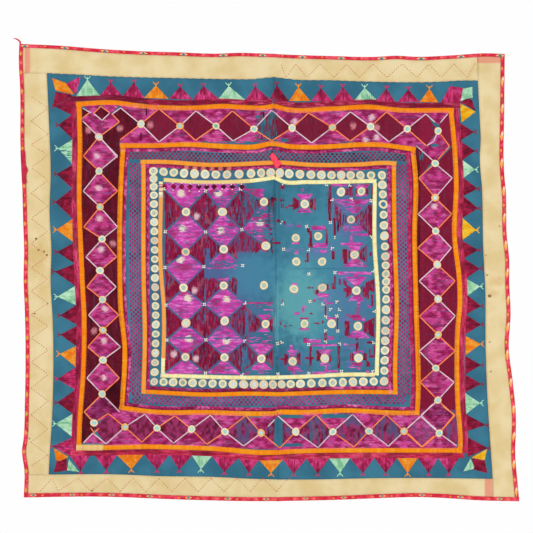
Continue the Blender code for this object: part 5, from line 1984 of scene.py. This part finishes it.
def mirror_glass():
    """Thin silvered glass, cut by hand: cool and clouded, with grey spots where its silver has gone."""
    finish, shader = new_finish("mirror glass, silvered")
    dye = add_node(finish, "VertexColor", {}, layer_name="dye")
    spot, across, up = on_cloth(finish)
    tarnish = patches(finish, spot, 2.6 * MM, 4.0)
    spotted = mixed(finish, maths(finish, "MULTIPLY", stepped(finish, tarnish, 0.55, 0.8), 0.35), dye, colour("#4E7468"))
    finish.node_tree.links.new(spotted, shader.inputs["Base Color"])
    rough = add_node(finish, "MapRange", {"Value": tarnish, "To Min": 0.16, "To Max": 0.42})
    finish.node_tree.links.new(rough, shader.inputs["Roughness"])
    shader.inputs["Metallic"].default_value = 0.65
    return finish


def side_name(x, z):
    """The side of the inner ring that a place is nearest to."""
    column, row = squares(x, z)
    gaps = {"top": abs(row - 171), "left": abs(column - 153), "bottom": abs(row - 383), "right": abs(column - 385)}
    return min(gaps, key=gaps.get)


ORANGE_RINGS = (
    (180, 126), (332, 127.5), (100, 207), (102.8, 330), (435, 197.7), (438, 334.8), (404, 431), (261, 433), (125, 427),
)
RING_RADII = {"top": 8.4 * MM, "left": 7.6 * MM, "right": 8.2 * MM, "bottom": 8.3 * MM}
LOST_GLASS = ((311, 171, "#C2488C"), (385, 204.3, "#3C7C96"))  # mirrors that have fallen out, and what shows there


def add_mirrors(thread):
    glass = mirror_glass()
    lattice = [place(spot) for side, count in LATTICE_COUNTS.items() for spot in mirror_squares(side, count)]
    nodes = [f"mirror_{side}_{number}" for side, count in LATTICE_COUNTS.items() for number in range(1, count + 1)]
    ring = [tuple(spot) for spot in ring_places()]
    centre = list(zip(CENTRE_MIRRORS["x"], CENTRE_MIRRORS["z"]))
    for name, spots, radii, layer, stands_for in (
        ("lattice_mirror", lattice, [7.3 * MM] * len(lattice), 80, nodes),
        (
            "panel_mirror", ring + centre,
            [RING_RADII[side_name(*spot)] for spot in ring] + [8.3 * MM] * len(centre), 90, (),
        ),
    ):
        spots = np.array(spots)
        count = len(spots)
        chance = NOISE[np.arange(count), layer + 4]
        radii = np.array(radii) * (0.95 + 0.12 * chance)
        shape = ring_shape()
        points = set_round(shape, spots, radii, 0.12, layer)
        angle = np.arctan2(shape[0][:, 1], shape[0][:, 0])
        groove = (np.round(angle / (2 * math.pi / RING_STEPS)).astype(int) % 2 == 1)
        high = shape[0][:, 2] > 0.3
        points[:, groove & high, 1] += 0.35 * MM
        middle = np.stack([spots[:, 0], spots[:, 1]], axis=1)[:, None, :]
        drawn = points[:, groove & high][:, :, (0, 2)]
        points[:, groove & high, 0] = (middle + (drawn - middle) * 0.965)[..., 0]
        points[:, groove & high, 2] = (middle + (drawn - middle) * 0.965)[..., 1]
        x = spots[:, 0]
        z = spots[:, 1]
        dyes = streaky(x, z, 20 * MM, 20 * MM, layer, "#F0E2B6", "#FBF2D2", "#E6BCA4", 0.6, 0.8)
        for spot in place(ORANGE_RINGS):
            near = np.hypot(x - spot[0], z - spot[1]) < 6 * MM
            dyes[near] = tint("#F5B870")
        # Painted shade: the ring's dye is darkened in its grooves and at its foot by the cloth
        light = np.where(groove, 0.78, 1.0) * np.where(high, 1.0, 0.8)
        reach = np.hypot(shape[0][:, 0], shape[0][:, 1])
        # Painted shadow: the ring's innermost edge, where it meets the glass, is darkened to a brown
        dyed = blend(dyes[:, None, :] * light[None, :, None], tint("#8A6A34"), (reach < 0.53)[None, :] * 0.6)
        dyed = blend(dyed, tint("#B86A72"), (reach > 0.97)[None, :] * 0.45)
        mesh = joined_copies(name + "_rings", points, shape[1], dyed)
        add_piece(name + "_rings", mesh, thread, stands_for)

        shape = glass_shape()
        points = set_round(shape, spots, radii, 0.16, layer + 2)
        tilt = (NOISE[np.arange(count), layer + 5] - 0.5)[:, None] * 0.05
        lean = (NOISE[np.arange(count), layer + 6] - 0.5)[:, None] * 0.05
        points[..., 1] += (points[..., 0] - x[:, None]) * tilt + (points[..., 2] - z[:, None]) * lean
        plain = "#9CCCC8" if stands_for else "#AEBEB0"
        # Painted reflection: glass picked by chance is paled towards a bright white-grey
        dyes = blend(tint(plain)[None, :], tint("#D2DEDA"), np.clip(chance * 1.6 - 0.8, 0, 0.8))
        dyes = blend(dyes, tint("#5E8C70"), np.clip(0.6 - chance * 4, 0, 0.8))
        for column, row, shows in LOST_GLASS:
            spot = place((column, row))
            dyes[np.hypot(x - spot[0], z - spot[1]) < 7 * MM] = tint(shows)
        dyed = np.repeat(dyes[:, None, :], points.shape[1], axis=1)
        mesh = joined_copies(name + "_glass", points, shape[1], dyed)
        mesh.set_sharp_from_angle(angle=math.radians(30))
        add_piece(name + "_glass", mesh, glass, stands_for)


def lay_over(stitches, width, rise, dyes, front):
    """As lay, for stitches that lie on another cloth. Front gives that cloth's front at x and z."""
    points, dyed = lay(stitches, width, rise, dyes)
    points[..., 1] += front(points[..., 0], points[..., 2]) - face_y(points[..., 0], points[..., 2])
    return points, dyed


def strip_front(x, z):
    """The front of the cream strips."""
    outside = np.maximum(
        np.maximum(upright(PANEL_LEFT, z) - x, x - upright(PANEL_RIGHT, z)),
        np.maximum(z - level(PANEL_TOP, x), level(PANEL_BOTTOM, x) - z),
    )
    return relief(x, z) + over(np.maximum(outside, 0)) - STRIP_THICK / 2


# The zigzags of running stitches on the cream strips: the two lines they run between, and where they turn,
# from one line to the other and back
RUNNING = {
    "left": (31, 48, (
        96, 108, 121, 134, 144.5, 155, 167.5, 180, 193, 206, 218.5, 231, 243.5, 256, 268, 279, 291, 303, 314.5, 326,
        338, 350, 362, 374.5, 388, 401, 415, 429, 442, 455, 466,
    )),
    "top": (64, 77.5, (281, 286, 296, 307, 320, 334, 346, 359, 373, 387, 402, 417, 429, 441, 454, 467, 475)),
    "bottom": (491.5, 478, (40, 52.3, 58, 78.2, 90.6, *range(107, 300, 13))),
}
RUNNING_PITCH = 5.4 * MM
RUNNING_LONG = 2.5 * MM


def add_running_stitches(thread):
    stitches = []
    for side, (first, last, turns) in RUNNING.items():
        corners = [(turn, last if number % 2 else first) for number, turn in enumerate(turns)]
        corners = place([corner[::-1] for corner in corners] if side == "left" else corners)
        for start, end in zip(corners[:-1], corners[1:]):
            span = np.linalg.norm(end - start)
            way = (end - start) / span
            for along in np.arange(RUNNING_PITCH / 2, span, RUNNING_PITCH):
                middle = start + way * along
                stitches.append(np.concatenate([middle - way * RUNNING_LONG / 2, middle + way * RUNNING_LONG / 2]))
    stitches = np.array(stitches)
    x, z = middles(stitches)
    dyes = streaky(x, z, 12 * MM, 12 * MM, 130, "#C2644C", "#DC9C74", "#A04034", 0.8, 0.6)
    laid = [lay_over(stitches, 1.4 * MM, 0.5 * MM, dyes, strip_front)]
    sew("running_stitches", laid, thread)


def add_sewing(thread):
    """The stitches that hold the cream strips on the panels, the panels together and the binding on the strips."""
    laid = []
    edges = {
        "top": (PANEL_TOP, 1, 7.5), "bottom": (PANEL_BOTTOM, -1, 7.5),
        "left": (PANEL_LEFT, -1, 7.0), "right": (PANEL_RIGHT, 1, 7.0),
    }
    for side, (edge, out, pitch) in edges.items():
        line, way = trace(np.stack([edge["x"], edge["z"]], axis=1), pitch * MM)
        out_way = np.array((0, out)) if side in ("top", "bottom") else np.array((out, 0))
        start = line + out_way * 0.9 * MM
        end = start + way * 2.4 * MM + out_way * 0.6 * MM
        stitches = np.concatenate([start, end], axis=1)
        x, z = middles(stitches)
        dyes = streaky(x, z, 9 * MM, 9 * MM, 133, "#C9AE74", "#E6D3A2", "#A8884E")
        laid.append(lay_over(stitches, 0.6 * MM, 0.3 * MM, dyes, strip_front))

    top = float(level(PANEL_TOP, seam_x(-0.05))) - 2 * MM
    bottom = float(level(PANEL_BOTTOM, seam_x(-0.8))) + 2 * MM
    z = np.arange(top, bottom, -4.2 * MM)
    x = seam_x(z)
    stitches = np.stack([x - 1.6 * MM, z, x + 0.6 * MM, z - 1.0 * MM], axis=1)
    dyes = streaky(x, z, 9 * MM, 9 * MM, 135, "#2F5F78", "#7C9FA8", "#1E4055")
    laid.append(lay_over(
        stitches, 0.6 * MM, 0.45 * MM, dyes, lambda x, z: relief(x, z) - PANEL_SINK - PANEL_THICK / 2,
    ))

    bindings = {
        "top": (TOP_EDGE, (0, -1), BINDING_TOP), "bottom": (BOTTOM_EDGE, (0, 1), BINDING_BOTTOM),
        "left": (LEFT_EDGE, (1, 0), BINDING_SIDE), "right": (RIGHT_EDGE, (-1, 0), BINDING_SIDE),
    }
    for side, (edge, inner, width) in bindings.items():
        line, way = trace(np.stack([edge["x"], edge["z"]], axis=1), 5 * MM)
        inner = np.array(inner, float)
        start = line + inner * (width - 0.9 * MM)
        end = line + inner * (width + 0.7 * MM) + way * 0.7 * MM
        stitches = np.concatenate([start, end], axis=1)[2:-2]
        x, z = middles(stitches)
        dyes = streaky(x, z, 9 * MM, 9 * MM, 137, "#D9A07A", "#F1D7A8", "#B8404A")
        laid.append(lay_over(stitches, 0.6 * MM, 0.5 * MM, dyes, lambda x, z: relief(x, z) - 1.25 * MM))
    sew("sewing_stitches", laid, thread)


# The camera stands straight in front, as in the photograph
CAMERA_X = -6.65 * MM
CAMERA_Z = -403.75 * MM
CAMERA_WIDTH = 1012.7 * MM
LENS = 85.0
SENSOR = 36.0
FLOOR_Z = -1.35


def add_stage():
    floor_mesh = bpy.data.meshes.new("studio_floor")
    bm = bmesh.new()
    bmesh.ops.create_grid(bm, x_segments=1, y_segments=1, size=1.6, matrix=Matrix.Translation((0, 0, FLOOR_Z)))
    bm.to_mesh(floor_mesh)
    bm.free()
    floor = bpy.data.objects.new("studio_floor", floor_mesh)
    bpy.context.scene.collection.objects.link(floor)
    paper, shader = new_finish("studio paper")
    shader.inputs["Base Color"].default_value = colour("#ECEAE6")
    shader.inputs["Roughness"].default_value = 0.9
    floor_mesh.materials.append(paper)

    camera_data = bpy.data.cameras.new("camera")
    camera_data.lens = LENS
    camera_data.sensor_width = SENSOR
    camera = bpy.data.objects.new("camera", camera_data)
    camera.location = (CAMERA_X, -CAMERA_WIDTH * LENS / SENSOR, CAMERA_Z)
    camera.rotation_euler = (math.radians(90), 0, 0)
    bpy.context.scene.collection.objects.link(camera)
    bpy.context.scene.camera = camera

    world = bpy.data.worlds.new("studio")
    world.use_nodes = True
    sky = world.node_tree.nodes["Background"]
    sky.inputs["Color"].default_value = colour("#FEFEFE")
    sky.inputs["Strength"].default_value = 1.0
    bpy.context.scene.world = world
    for name, spot, size, watts in (
        ("key_light", (-1.75, -1.7, -0.2), 1.0, 10),
        ("fill_light", (1.75, -1.8, -0.6), 1.2, 13),
    ):
        lamp_data = bpy.data.lights.new(name, "AREA")
        lamp_data.size = size
        lamp_data.energy = watts
        lamp = bpy.data.objects.new(name, lamp_data)
        lamp.location = spot
        way = Vector((0, 0, -0.42)) - lamp.location
        lamp.rotation_euler = way.to_track_quat("-Z", "Y").to_euler()
        bpy.context.scene.collection.objects.link(lamp)
    bpy.context.scene.view_settings.view_transform = "Standard"


add_stage()
add_panels()
add_strips()
add_bindings()
add_mend()
add_scrap()
add_tail()
add_thread_loop()
silk = silk_floss()
thread = cotton_thread()
add_orange_bands(silk)
add_cream_band(silk)
add_crimson_bands(silk)
add_check_band(silk)
add_lattice(silk)
add_pennants(silk)
add_centre(silk)
add_knots(thread)
add_mirrors(thread)
add_running_stitches(thread)
add_sewing(thread)
